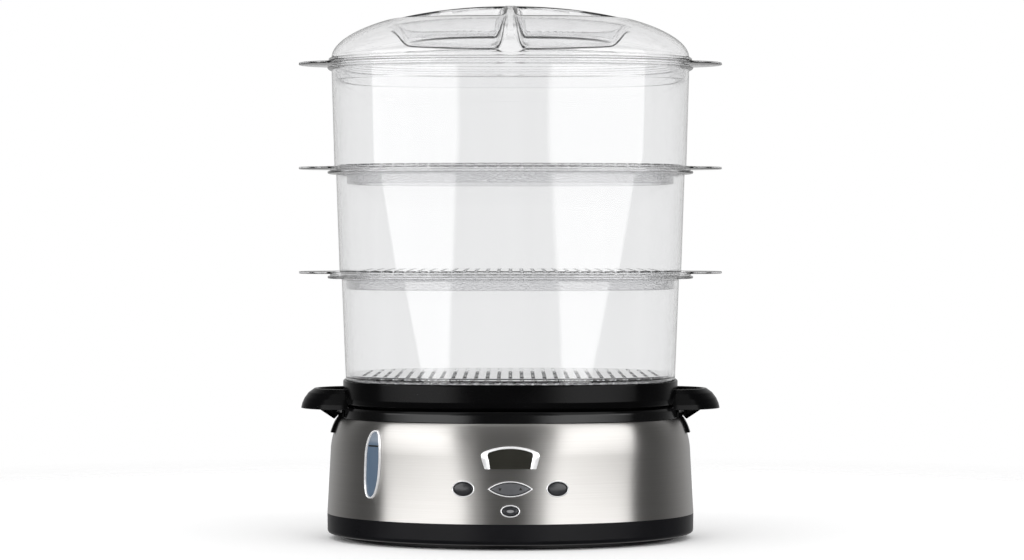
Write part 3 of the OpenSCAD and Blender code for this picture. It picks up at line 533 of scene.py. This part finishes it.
def slottedFloor(name, plan, half, low):
    # Flat oval plate with three rows of slots from front to back and small holes between the rows
    curve = bpy.data.curves.new(name, "CURVE")
    curve.dimensions, curve.fill_mode = "2D", "BOTH"
    edge, radius = plan["floorEdge"], plan["slotWide"] / 2
    curve.extrude = (plan["floorThick"] / 2 - edge) * mm
    curve.bevel_depth, curve.bevel_resolution, curve.offset = edge * mm, 1, -edge * mm

    def addOutline(x, y):
        spline = curve.splines.new("POLY")
        spline.points.add(len(x) - 1)
        spots = np.zeros((len(x), 4))
        spots[:, 0], spots[:, 1], spots[:, 3] = x * mm, y * mm, 1
        spline.points.foreach_set("co", spots.ravel())
        spline.use_cyclic_u = True

    angles = evenTurn(192)
    reach = ovalReach(angles, half, *plan["oval"])
    addOutline(*roundSpots(reach, angles, 0)[:, :2].T)
    hole, bend = evenTurn(8), np.linspace(0, math.pi, 5)
    arc = np.concatenate([bend, bend + math.pi])
    inner, (aspect, power) = half - plan["floorMargin"], plan["oval"]
    columns = math.floor((half - plan["slotMargin"]) / plan["slotPitch"])
    for column in range(-columns, columns + 1):
        x = column * plan["slotPitch"]
        deep = inner * aspect * (1 - (abs(x) / inner) ** power) ** (1 / power)
        slot = (2 * deep - 2 * plan["webWide"]) / 3
        ends = np.repeat([slot / 2 - radius, radius - slot / 2], len(bend))
        pitch = slot + plan["webWide"]
        for row in (-1, 0, 1):
            addOutline(x + radius * np.cos(arc), row * pitch + ends + radius * np.sin(arc))
        for row in (-0.5, 0.5):
            addOutline(x + radius * np.cos(hole), row * pitch + radius * np.sin(hole))
    holder = bpy.data.objects.new(name + "Curve", curve)
    mesh = bpy.data.meshes.new_from_object(holder)
    bpy.data.objects.remove(holder)
    spots = np.empty(len(mesh.vertices) * 3)
    mesh.vertices.foreach_get("co", spots)
    spots[2::3] += (low + plan["floorThick"] / 2) * mm
    mesh.vertices.foreach_set("co", spots)
    mesh.name = name
    mesh.set_sharp_from_angle(angle=math.radians(30))
    return mesh


def splitFinish(piece, foot, rim):
    # Faces that lie below the foot height take the dimpled plastic, those above the rim height the paler one
    mesh = piece.data
    for name in ("clear_stippled", "clear_rim"):
        mesh.materials.append(finishes[name])
    middle = np.empty(len(mesh.polygons) * 3)
    mesh.polygons.foreach_get("center", middle)
    z = middle[2::3] / mm
    chosen = np.where(z < foot, 1, np.where(z > rim, 2, 0)).astype(np.int32)
    mesh.polygons.foreach_set("material_index", chosen)


def addBaskets(plan):
    for tier, node in enumerate(plan["names"]):
        low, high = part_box(node)
        rest, top = low.z / mm + plan["skirtDrop"], high.z / mm
        word = node.split("_")[0]
        band = basketBand(plan, tier, rest, top)
        wall = addPiece(word + "BasketWall", node, "clear_plastic", [band], [node])
        splitFinish(wall, rest + plan["dimpleTop"], top - plan["rimStep"] - plan["paleFrom"])
        half = plan["foot"][tier] - plan["wall"] - plan["floorGap"]
        floor = slottedFloor(word + "BasketFloor", plan, half, rest + plan["floorRise"])
        addPiece(word + "BasketFloor", node, "clear_plastic", floor, [node])


addBaskets(basketPlan)
print("steamer: baskets made")

lidPlan = {
    "oval": (234 / 273, 2.7), "domeHalf": 133.5, "domeLow": 359, "domeHigh": 38.98, "domeBend": 0.526,
    "wall": 2.4, "flangeHalf": 135.6, "flangeLow": 356, "flangeTop": 358.2, "skirtTop": 130.6,
    "skirtFoot": 130.2, "skirtLow": 341.5, "seam": 0.2, "underSeam": 0.3, "fold": 0.4,
    # Where the dish's slope and the flanks of the bar and the rib begin and end
    "dishSpan": (76, 92), "barSpan": (5.5, 16.5), "ribSpan": (3.5, 11.5),
    "dishAspect": 0.857, "dishFloor": 371.5, "dishCurl": 5,
    # Grid cells across, and how much they crowd towards the middle and the rim
    "cells": 180, "crowdMiddle": 1.25, "crowdRim": 1.6,
}


def smoothStep(value, low, high):
    # t^2 (3 - 2t), where t runs from 0 at low to 1 at high
    t = np.clip((value - low) / (high - low), 0, 1)
    return t * t * (3 - 2 * t)


def lidHeight(plan, x, y, share):
    # Dome z = low + high (1 - s^2)^k; the oval dish is sunk to its floor except under the bar and the rib
    dome = plan["domeLow"] + plan["domeHigh"] * (1 - share ** 2) ** plan["domeBend"]
    power = plan["oval"][1]
    around = (np.abs(x) ** power + np.abs(y / plan["dishAspect"]) ** power) ** (1 / power)
    inDish = 1 - smoothStep(around, *plan["dishSpan"])
    offBar, offRib = smoothStep(np.abs(y), *plan["barSpan"]), smoothStep(np.abs(x), *plan["ribSpan"])
    sunk = np.minimum(dome, plan["dishFloor"] + plan["dishCurl"] * (around / plan["dishSpan"][1]) ** 3)
    return dome + (sunk - dome) * inDish * offBar * offRib


def lidMesh(name, plan):
    # A square grid rounded into a disc, x = u sqrt(1 - v^2/2), carries the dome; rim rows join the underside
    count, half, wall = plan["cells"] + 1, plan["domeHalf"], plan["wall"]
    line = np.linspace(-1, 1, count)
    line = np.sign(line) * np.abs(line) ** plan["crowdMiddle"]
    u, v = np.meshgrid(line, line)
    discX, discY = u * np.sqrt(1 - v ** 2 / 2), v * np.sqrt(1 - u ** 2 / 2)
    angles = np.arctan2(discY, discX)
    share = 1 - (1 - np.clip(np.hypot(discX, discY), 0, 1)) ** plan["crowdRim"]
    reach = ovalReach(angles, half, *plan["oval"]) * share
    x, y = reach * np.cos(angles), reach * np.sin(angles)
    top = np.stack([x, y, lidHeight(plan, x, y, share)], -1)
    # The underside lies one wall away along the normal, but not past the inner rim
    normal = np.cross(np.gradient(top, axis=1), np.gradient(top, axis=0))
    normal /= np.linalg.norm(normal, axis=-1, keepdims=True) + 1e-12
    under = top - normal * wall
    innerReach = ovalReach(angles, half - wall, *plan["oval"])
    far = np.hypot(under[..., 0], under[..., 1])
    under[..., :2] *= np.minimum(1, innerReach / np.maximum(far, 1e-6))[..., None]
    under[..., 2] = np.maximum(under[..., 2], plan["flangeLow"] + plan["fold"])
    index = np.arange(count * count).reshape(count, count)
    edge = np.concatenate([index[0, :-1], index[:-1, -1], index[-1, :0:-1], index[:0:-1, 0]])
    flange, low, high, foot = (plan[key] for key in ("flangeHalf", "flangeLow", "flangeTop", "skirtLow"))
    rim = ovalLine([
        (half - plan["seam"], high, 0), (flange, high, 0.7), (flange, low, 0.7),
        (plan["skirtTop"], low, 0.5), (plan["skirtFoot"], foot, 0.8), (plan["skirtFoot"] - wall, foot, 0.8),
        (plan["skirtTop"] - wall, low - plan["fold"], 0.5),
        (half - wall - plan["underSeam"], low + plan["seam"], 0)], plan, closed=False)
    turns = angles.ravel()[edge]
    ring = roundSpots(ovalReach(turns, rim[:, 0, None], *plan["oval"]), turns, rim[:, 1, None])
    size = count * count
    rows, cols = ring.shape[:2]
    ringIndex = 2 * size + np.arange(rows * cols).reshape(rows, cols)
    table = np.vstack([edge[None, :], ringIndex, edge[None, :] + size])
    # Counter-clockwise quads on the dome look up, the same ones turned round look down inside
    upper = gridFaces(index, False, False)
    turned = np.flip(gridFaces(index + size, False, False) + gridFaces(table, False, True), 1).tolist()
    points = np.concatenate([top.reshape(-1, 3), under.reshape(-1, 3), ring.reshape(-1, 3)])
    return meshFrom(name, points, upper + turned, 50)


addPiece("lidDome", "lid", "clear_plastic", lidMesh("lidDome", lidPlan), ["lid"], "clear_lid")
print("steamer: lid made")

trayPlan = {
    "oval": (234 / 273, 2.7), "low": 99.7, "high": 118.8, "half": 125, "wall": 2.8,
    "footHalf": 119.5, "heelHalf": 123.6, "innerFoot": 118,
    "chimney": 38, "chimneyHigh": 15.3, "chimneyWall": 2.4,
    "skirtOval": (0.848, 2), "skirtInner": 105.8, "skirtOuter": 108.2, "skirtDrop": 4.2,
    # Rows of the grip from its foot up: half length, half depth and height
    "grip": [(39, 41, 97.4), (38.2, 40.4, 101), (36.4, 39, 105), (33.4, 36.8, 109), (29, 33.6, 112.2)],
    "gripMiddle": 118, "gripWall": 3, "gripSink": 1.2,
    "gutter": [(131.4, 90.4), (142, 97.4), (142, 99.8), (131.4, 93.4), (131.4, 103.2), (124.6, 103.2),
               (124.6, 100.3), (128.9, 100.3), (128.9, 92.2), (130.6, 90.4)],
    "gutterEnd": [(130.8, 90.6), (141.8, 97.5), (141.8, 101), (130.8, 103)],
    "gutterWide": 48, "gutterEndWall": 1.4, "gutterSoft": 0.5,
}


def trayBand(plan):
    # Bowl with an upright wall, a round steam chimney in the middle and a skirt under the floor
    low, high, half, pipe = plan["low"], plan["high"], plan["half"], plan["chimney"]
    oval, disc, skirt = plan["oval"], (1, 2), plan["skirtOval"]
    mouth, hem = low + plan["chimneyHigh"], low - plan["skirtDrop"]
    # Half-width, height, radius and oval of each corner, up the outside and then from the wall to the middle
    return ovalBand(softCorners([
        (plan["footHalf"], low, 1, *oval), (plan["heelHalf"], low + 2, 2, *oval), (half, low + 6, 2, *oval),
        (half, high, 0.9, *oval), (half - plan["wall"], high, 0.9, *oval), (half - 3.4, low + 4.8, 2, *oval),
        (plan["innerFoot"], low + 2.8, 2, *oval), (pipe + 2, low + 4.8, 1.5, *disc),
        (pipe, mouth, 0.8, *disc), (pipe - plan["chimneyWall"], mouth, 0.8, *disc),
        (pipe - 0.4, low + 2.2, 1, *disc),
        (plan["skirtInner"], low + 0.3, 0.5, *skirt), (plan["skirtInner"], hem, 0.5, *skirt),
        (plan["skirtOuter"], hem, 0.5, *skirt), (plan["skirtOuter"], low + 0.2, 0.5, *skirt),
        (112, low, 0.3, *oval)]))


def gripPart(plan, side):
    # Hollow oval ring round (gripMiddle, 0), kept only where it stands outside the tray's wall
    outer = np.array(plan["grip"])
    heights, spots = np.linspace(0, 1, 17), np.linspace(0, 1, len(outer))
    line = np.stack([np.interp(heights, spots, outer[:, i]) for i in range(3)], -1)
    inner = line[::-1].copy()
    inner[:, :2] -= plan["gripWall"]
    loop = softCorners([(r[0], r[2], 0.9, r[1]) for r in np.vstack([line, inner])], 3)
    a, z, b = loop[:, 0, None], loop[:, 1, None], loop[:, 2, None]

    def spot(angle):
        return plan["gripMiddle"] + a * np.cos(angle), b * np.sin(angle)

    def outside(angle):
        x, y = spot(angle)
        return np.hypot(x, y) > ovalReach(np.arctan2(y, x), plan["half"] - plan["gripSink"], *plan["oval"])

    x, y = spot(np.linspace(-1, 1, 97)[None, :] * lastInside(a.shape, 0, math.pi, outside))
    return gridPart(onSide(spotsAt(x, y, z), side), loopCols=False)


def gutterParts(plan, side):
    # A bent sheet along Y, and a wall that closes each end of it
    wide, wall, soft = plan["gutterWide"] / 2, plan["gutterEndWall"], plan["gutterSoft"]
    parts = []
    for outline, spans in ((plan["gutter"], [(-wide, wide)]),
                           (plan["gutterEnd"], [(-wide, wall - wide), (wide - wall, wide)])):
        line = softCorners([(*corner, soft) for corner in outline], 3)
        for low, high in spans:
            across = np.array([low, low + soft, high - soft, high])
            points = spotsAt(line[:, 0, None], across, line[:, 1, None])
            parts.append(gridPart(onSide(points, side), loopCols=False))
    return parts


def addTray(plan):
    addPiece("trayBowl", "drip_tray", "black_gloss", [trayBand(plan)], ["drip_tray"])
    for side, word in sides:
        addPiece(word + "TrayGrip", "drip_tray", "black_gloss", [gripPart(plan, side)], ["drip_tray"])
        addPiece(word + "TrayGutter", "drip_tray", "black_gloss", gutterParts(plan, side), ["drip_tray"])


addTray(trayPlan)
print("steamer: drip tray made")

shellPlan = {
    "low": 19, "bend": 67, "high": 91, "lowHalf": 137.3, "bendHalf": 134.6, "headHalf": 126.2,
    "shoulder": 8.4, "curve": 1.5, "aspectLow": 0.85, "aspectGain": 0.0216, "powerGain": 0.4, "steel": 1.0,
    "rows": 56, "crowd": 1.35,
}


def shellOutline(z, plan=shellPlan):
    # Half-width tapers to the bend, then a = head + shoulder (1 - t^k)^(1/k); the plan squares up with height
    z = np.asarray(z, float)
    low, bend, high, curve = (plan[key] for key in ("low", "bend", "high", "curve"))
    share = (z - low) / (high - low)
    taper = plan["lowHalf"] - (plan["lowHalf"] - plan["bendHalf"]) * (z - low) / (bend - low)
    t = np.clip((z - bend) / (high - bend), 0, 1)
    a = np.where(z <= bend, taper, plan["headHalf"] + plan["shoulder"] * (1 - t ** curve) ** (1 / curve))
    return a, plan["aspectLow"] + plan["aspectGain"] * share ** 2, 2 + plan["powerGain"] * share ** 2


def shellBand(plan):
    # The outline up the outside and down one sheet's thickness further in, its rows crowded at the shoulder
    t = np.linspace(0, 1, plan["rows"])
    z = plan["low"] + (plan["high"] - plan["low"]) * (1 - (1 - t) ** plan["crowd"])
    a, aspect, power = shellOutline(z)
    outer = np.stack([a, z, aspect, power], -1)
    inner = outer[::-1].copy()
    inner[:, 0] -= plan["steel"]
    return ovalBand(np.vstack([outer, inner]), 384)


housingPlan = {
    "oval": (0.85, 2),
    "corners": [(129.3, 3.4, 0.3), (132.5, 3.4, 1.5), (137.1, 4.6, 3.6), (137.3, 19, 0.4), (136.1, 19, 0.2),
                (135.9, 23.6, 0.3), (133.8, 23.6, 0.3), (133.8, 9, 2), (130.4, 5.6, 1), (129.3, 5.6, 0.3)],
}
tankPlan = {
    "oval": (0.84, 2),
    "corners": [(100, 28, 2), (104, 32, 2), (106, 78, 3), (113, 84, 2), (113, 94.4, 0.4), (121, 94.4, 0.5),
                (121, 96.4, 0.5), (110.8, 96.4, 0.6), (110.8, 84.9, 2), (103.8, 78.9, 2), (101.8, 33.2, 1.5),
                (99, 30.5, 1), (36, 30.5, 1), (32.6, 36.8, 0.8), (30.6, 36.8, 0.8), (30.6, 28, 0.5)],
}
collarPlan = {
    "oval": (0.8716, 2.4), "half": 126.2, "low": 91, "brow": 97.4, "high": 99.4, "brim": 1.2,
    "ledge": 109.5, "ledgeOval": (0.85, 2), "inside": 122.6, "insideOval": (0.868, 2.2), "thick": 3,
    "lipDepth": 20, "lipLow": 79.4, "lipThick": 2.4, "lipRise": 0.4, "lipSink": 0.6, "lipTuck": 3.6,
}


def collarBand(plan):
    # Upright band with a flat ledge inwards at its top
    half, low, high, under = plan["half"], plan["low"], plan["high"], plan["high"] - plan["thick"]
    return ovalBand(softCorners([
        (half, low, 0.4, *plan["oval"]), (half, plan["brow"], 1.6, *plan["oval"]),
        (half - plan["brim"], high, 0.9, *plan["oval"]), (plan["ledge"], high, 0.6, *plan["ledgeOval"]),
        (plan["ledge"], under, 0.6, *plan["ledgeOval"]), (plan["inside"], under, 0.8, *plan["insideOval"]),
        (plan["inside"], low, 0.3, *plan["insideOval"])]), 384)


def lipPart(plan, side):
    # Thin black lip that lies over the steel shoulder at the side, below the collar
    z = np.concatenate([np.linspace(plan["lipLow"], plan["low"] - 0.2, 16), [plan["low"] + plan["lipTuck"]]])
    deep = np.linspace(-plan["lipDepth"], plan["lipDepth"], 33)
    a, aspect, power = (v[:, None] for v in shellOutline(np.minimum(z, plan["low"] - 0.01)))
    x = a * (1 - np.abs(deep / (a * aspect)) ** power) ** (1 / power)
    skin = spotsAt(x, deep, z[:, None])
    out = skin + np.array([plan["lipThick"], 0, plan["lipRise"]])
    back = skin[::-1] - np.array([plan["lipSink"], 0, 0])
    return gridPart(onSide(np.concatenate([out, back]), side), loopCols=False)


def shellLevel(x, y, z):
    # |x/a|^n + |y/b|^n: below 1 inside the steel, above 1 outside
    a, aspect, power = shellOutline(z)
    return np.abs(x / a) ** power + np.abs(y / (a * aspect)) ** power


def heading(place):
    # Cosine and sine of the way that a place faces
    return math.cos(math.radians(place["turn"])), math.sin(math.radians(place["turn"]))


def shellSpot(place, u, w, lift):
    # From a place go u across and w up, then outwards as far as the steel, then lift off along its normal
    u, w, lift = np.broadcast_arrays(*np.atleast_1d(u, w, lift))
    c, s = heading(place)
    startX, startY, z = place["x"] + u * c, place["y"] + u * s, place["z"] + w

    def inside(out):
        return shellLevel(startX + out * s, startY - out * c, z) < 1

    out = lastInside(u.shape, -20, 60, inside, 32)
    spot = spotsAt(startX + out * s, startY - out * c, z)
    slopes = [shellLevel(*np.moveaxis(spot + step, -1, 0)) - shellLevel(*np.moveaxis(spot - step, -1, 0))
              for step in np.eye(3) * 0.05]
    normal = np.stack(slopes, -1)
    normal /= np.linalg.norm(normal, axis=-1, keepdims=True)
    return spot + normal * lift[..., None]


def ovalOutline(size, inset, power=2, count=96):
    # u = (a - inset) |cos|^(2/n), w = (b - inset) |sin|^(2/n), both with their signs
    c, s = np.cos(evenTurn(count)), np.sin(evenTurn(count))
    return ((size[0] - inset) * np.sign(c) * np.abs(c) ** (2 / power),
            (size[1] - inset) * np.sign(s) * np.abs(s) ** (2 / power))


def pointedOutline(size, inset, count=96):
    # Two arcs of radius (L^2 + H^2) / 2H, whose centres lie below and above the middle
    radius = (size[0] ** 2 + size[1] ** 2) / (2 * size[1])
    drop = radius - size[1]
    start = math.asin(drop / (radius - inset))
    t = np.linspace(start, math.pi - start, count // 2, endpoint=False)
    u, w = (radius - inset) * np.cos(t), (radius - inset) * np.sin(t) - drop
    return np.concatenate([u, -u]), np.concatenate([w, -w])


def leaningOval(plan, inset):
    # Tall squared oval that leans a little to one side
    u, w = ovalOutline(plan["size"], inset, plan["power"])
    return u + plan["lean"] * w, w


def edgeRows(place, outline, section):
    # Each section row (inset, lift) gives one row of points on the steel
    return [shellSpot(place, *outline(inset), lift) for inset, lift in section]


def trimBand(place, outline, section):
    # Rows of a closed section, carried round a closed outline
    return gridPart(np.stack(edgeRows(place, outline, section)))


def capPad(place, outline, edge, crown, depth):
    # Rounded edge rows, then the outline shrinks to the middle and rises by crown (1 - s^2)
    rows = edgeRows(place, outline, [(0, -depth), *edge])
    inset, lift = edge[-1]
    u, w = outline(inset)
    for share in (0.85, 0.7, 0.55, 0.4, 0.25, 0.1, 0.02):
        rows.append(shellSpot(place, u * share, w * share, lift + crown * (1 - share ** 2)))
    return gridPart(np.stack(rows), loopRows=False)


def rod(start, length, radius, upright=False):
    # Plain round bar along +Y, or along +Z
    across, along = radius * np.cos(evenTurn(24)), radius * np.sin(evenTurn(24))
    ends = np.array([[0.0], [length]])
    spots = spotsAt(across, along, ends) if upright else spotsAt(-across, ends, along)
    return gridPart(spots + start, loopRows=False)


front = {"y": -80, "turn": 0}
sideButton = {**front, "outline": ovalOutline, "z": 44.4, "ring": (8.1, 6), "cap": (6.55, 4.55),
              "stems": [0], "rods": []}
trimPlan = {
    # Sections as rows of inset and lift
    "ring": [(0, -1.2), (0, 0.35), (0.15, 0.6), (0.4, 0.7), (0.65, 0.6), (0.8, 0.35), (0.8, -1.2)],
    "cap": {"edge": [(0, 0.1), (0.12, 0.35), (0.4, 0.52), (0.8, 0.58)], "crown": 0.25, "depth": 3},
    "stemRadius": 1.8, "stemEnd": -101.5, "stemGap": 1.5, "holeInset": 0.35,
    "centreSize": (2.6, 1.1), "centreLift": 0.78, "markX": 7.4, "markSize": 1.35, "markLift": 0.77,
    "buttons": {
        "leftButton": {**sideButton, "x": -34, "node": "left_button"},
        "rightButton": {**sideButton, "x": 34, "node": "right_button"},
        "powerButton": {**sideButton, "x": 0, "z": 28.6, "ring": (7, 4.45), "cap": (5.5, 3.1),
                        "node": "power_button"},
        # Its rods are the axle pin and the block behind it: start, length, radius, and whether it is upright
        "rocker": {**sideButton, "x": 0, "outline": pointedOutline, "ring": (16.3, 5.7), "cap": (14.1, 4.3),
                   "node": "rocker_button", "trimNode": "rocker_ring", "finish": "rocker_grey",
                   "stems": [-9, 9],
                   "rods": [((0, -111, 44.4 - 7.2), 2 * 7.2, 1.2, True), ((0, -113.4, 44.4), 3.6, 2.2)]},
    },
    "gauge": {"x": -98.3, "y": -79.6, "z": 60, "turn": -42, "size": (7.6, 25), "power": 2.5, "lean": 0.15,
              "rim": [(0, -1.2), (0, 1.25), (0.2, 1.65), (0.55, 1.8), (0.95, 1.7), (1.2, 1.4), (1.25, -1.2)],
              "glassInset": 1.2, "glass": {"edge": [(0, 0.35), (0.3, 0.5)], "crown": 0.1, "depth": 1.2},
              "tick": (4.9, 0.55), "tickUp": 13.6, "tickPower": 5,
              "tickEdge": [(0, 0.3), (0, 0.68), (0.1, 0.72), (0.5, 0.72)]},
    # Arches: half width of the foot, lean of the leg, drop of the arc's centre below the foot, and its radius
    "display": {**front, "x": 0, "z": 58.9, "outer": (18.6, 0.3033, 31.5, 47.8),
                "inner": (14.4, 0.1896, 28.9, 43.4), "rounding": 5,
                "section": [(0, -1.2), (0, 0.1), (0.06, 0.3), (0.5, 0.95), (0.86, 1.35), (0.95, 1.35),
                            (1, 1.15), (1, -1.2)],
                "windowRows": (1, 0.97, 0.9, 0.7, 0.5, 0.3, 0.12, 0), "windowLift": 0.3, "windowDeep": -1,
                "windowFoot": 0.98},
}


def archReach(angles, arch, rounding):
    # Distance from the middle of the foot: the nearer of a leaning leg and an arc, rounded where they meet
    leg, lean, rise, radius = arch
    c, s = np.abs(np.cos(angles)), np.sin(angles)
    toLeg = leg / np.maximum(c - lean * s, 0.02)
    toArc = np.sqrt(radius ** 2 - (rise * c) ** 2) - rise * s
    return -softMax(-np.minimum(toLeg, 200), -toArc, rounding)


def displayParts(plan):
    # Surround: arched outlines joined by a sloping section. Window: lines from its foot up to the inner arch
    angles = np.linspace(0, math.pi, 121)
    outer = archReach(angles, plan["outer"], plan["rounding"])
    inner = archReach(angles, plan["inner"], plan["rounding"] / 2)
    c, s = np.cos(angles), np.sin(angles)
    surround, window = [], []
    for share, lift in plan["section"]:
        reach = outer + (inner - outer) * share
        surround.append(shellSpot(plan, reach * c, reach * s, lift))
    face = [(share, plan["windowLift"]) for share in plan["windowRows"]]
    for share, lift in [(1, plan["windowDeep"]), *face, (0, plan["windowDeep"])]:
        u = plan["inner"][0] * plan["windowFoot"] * c * (1 - share) + inner * c * share
        window.append(shellSpot(plan, u, inner * s * share, lift))
    return [gridPart(np.stack(rows), loopCols=False) for rows in (surround, window)]


def prism(place, outline, reach=12.0):
    # Straight cutter through the steel under an outline
    u, w = outline
    c, s = heading(place)
    middle = shellSpot(place, 0, 0, 0)[0]
    flat = spotsAt(middle[0] + u * c, middle[1] + u * s, place["z"] + w)
    outward = np.array([s, -c, 0])
    return gridPart(np.stack([flat - reach * outward, flat + reach * outward]), loopRows=False)


def cutHoles(piece, parts):
    holder = addObject("holes", joinedMesh("holes", parts))
    cut = piece.modifiers.new("holes", "BOOLEAN")
    cut.object, cut.operation, cut.solver = holder, "DIFFERENCE", "EXACT"
    graph = bpy.context.evaluated_depsgraph_get()
    mesh = bpy.data.meshes.new_from_object(piece.evaluated_get(graph))
    piece.modifiers.clear()
    piece.data = mesh
    mesh.set_sharp_from_angle(angle=math.radians(30))
    bpy.data.objects.remove(holder)


def addBase():
    wrap = addPiece("steelWrap", "base", "brushed_steel", [shellBand(shellPlan)], ["steel_shell"])
    inset, gauge, display = (trimPlan[part] for part in ("holeInset", "gauge", "display"))
    cutters = [prism(plan, plan["outline"](plan["ring"], inset)) for plan in trimPlan["buttons"].values()]
    cutters.append(prism(gauge, leaningOval(gauge, inset)))
    angles = np.linspace(0, math.pi, 61)
    reach = archReach(angles, display["outer"], display["rounding"]) - inset
    cutters.append(prism(display, (reach * np.cos(angles), reach * np.sin(angles))))
    cutHoles(wrap, cutters)
    for name, plan, slot, node in (("lowerHousing", housingPlan, "black_satin", "bottom_housing"),
                                   ("waterTank", tankPlan, "tank_plastic", "water_tank")):
        addPiece(name, "base", slot, [ovalBand(ovalLine(plan["corners"], plan))], [node])
    addPiece("blackCollar", "base", "black_gloss", [collarBand(collarPlan)], ["base_collar"], "collar_black")
    for side, word in sides:
        addPiece(word + "CollarLip", "base", "black_gloss", [lipPart(collarPlan, side)], ["base_collar"])


def inlay(place, across, size, corners, lift):
    # Small thin pad on a cap: a triangle that points up, or down with a negative height, or an oval
    t = evenTurn(corners) * np.sign(size[1]) + turn / 4
    u, w = across + size[0] * np.cos(t), size[1] * np.sin(t)
    rows = [shellSpot(place, u, w, lift - 0.3), shellSpot(place, u, w, lift + 0.08)]
    return gridPart(np.stack(rows), loopRows=False)


def addButtons(plan):
    for word, button in plan["buttons"].items():
        outline, node = button["outline"], button["node"]
        ring = trimBand(button, lambda inset: outline(button["ring"], inset), plan["ring"])
        addPiece(word + "Trim", "base", "chrome_trim", [ring], [button.get("trimNode", node + "_ring")])
        parts = [capPad(button, lambda inset: outline(button["cap"], inset), **plan["cap"])]
        for across in button["stems"]:
            start = shellSpot(button, across, 0, 0)[0] + np.array([0, plan["stemGap"], 0])
            parts.append(rod(start, plan["stemEnd"] - start[1], plan["stemRadius"]))
        parts += [rod(*values) for values in button["rods"]]
        addPiece(word + "Cap", node, "button_grey", parts, [node], button.get("finish"))
    rocker, power = plan["buttons"]["rocker"], plan["buttons"]["powerButton"]
    size, lift = plan["markSize"], plan["markLift"]
    marks = [inlay(rocker, side * plan["markX"], (size, side * size), 3, lift) for side in (-1, 1)]
    addPiece("rockerMarks", "rocker_button", "button_grey", marks, finish="display_dark")
    centre = inlay(power, 0, plan["centreSize"], 48, plan["centreLift"])
    addPiece("powerCentre", "power_button", "button_grey", [centre], finish="cap_centre")


def addGauge(plan):
    def outline(inset):
        return leaningOval(plan, inset)

    def tickOutline(inset):
        u, w = ovalOutline(plan["tick"], inset, plan["tickPower"], 40)
        return u + plan["lean"] * plan["tickUp"], w + plan["tickUp"]

    addPiece("gaugeRim", "base", "chrome_trim", [trimBand(plan, outline, plan["rim"])], ["gauge_bezel"])
    glass = capPad(plan, lambda inset: outline(inset + plan["glassInset"]), **plan["glass"])
    addPiece("gaugeGlass", "base", "gauge_clear", [glass], ["gauge_window"])
    tick = gridPart(np.stack(edgeRows(plan, tickOutline, plan["tickEdge"])), loopRows=False)
    addPiece("gaugeTick", "base", "display_dark", [tick])


def addDisplay(plan):
    surround, window = displayParts(plan)
    addPiece("displaySurround", "base", "chrome_trim", [surround], ["display_bezel"])
    addPiece("displayWindow", "base", "display_dark", [window], ["display_lens"])


addBase()
print("steamer: base made")
addButtons(trimPlan)
addGauge(trimPlan["gauge"])
addDisplay(trimPlan["display"])
print("steamer: controls made")

# Each node wears the finish of its own slot, but for these four
otherFinish = {"cord_gland": "rubber_dark", "heater_clamp": "heater_metal", "gauge_chamber": "tank_plastic",
               "thermal_fuse": "ceramic"}
for part in frame["record"]["subparts"]:
    slot = otherFinish.get(part["node"], part["material_slot"])
    for place in nodes[part["node"]].material_slots:
        place.material = finishes[slot]
print("steamer: CAD nodes finished")
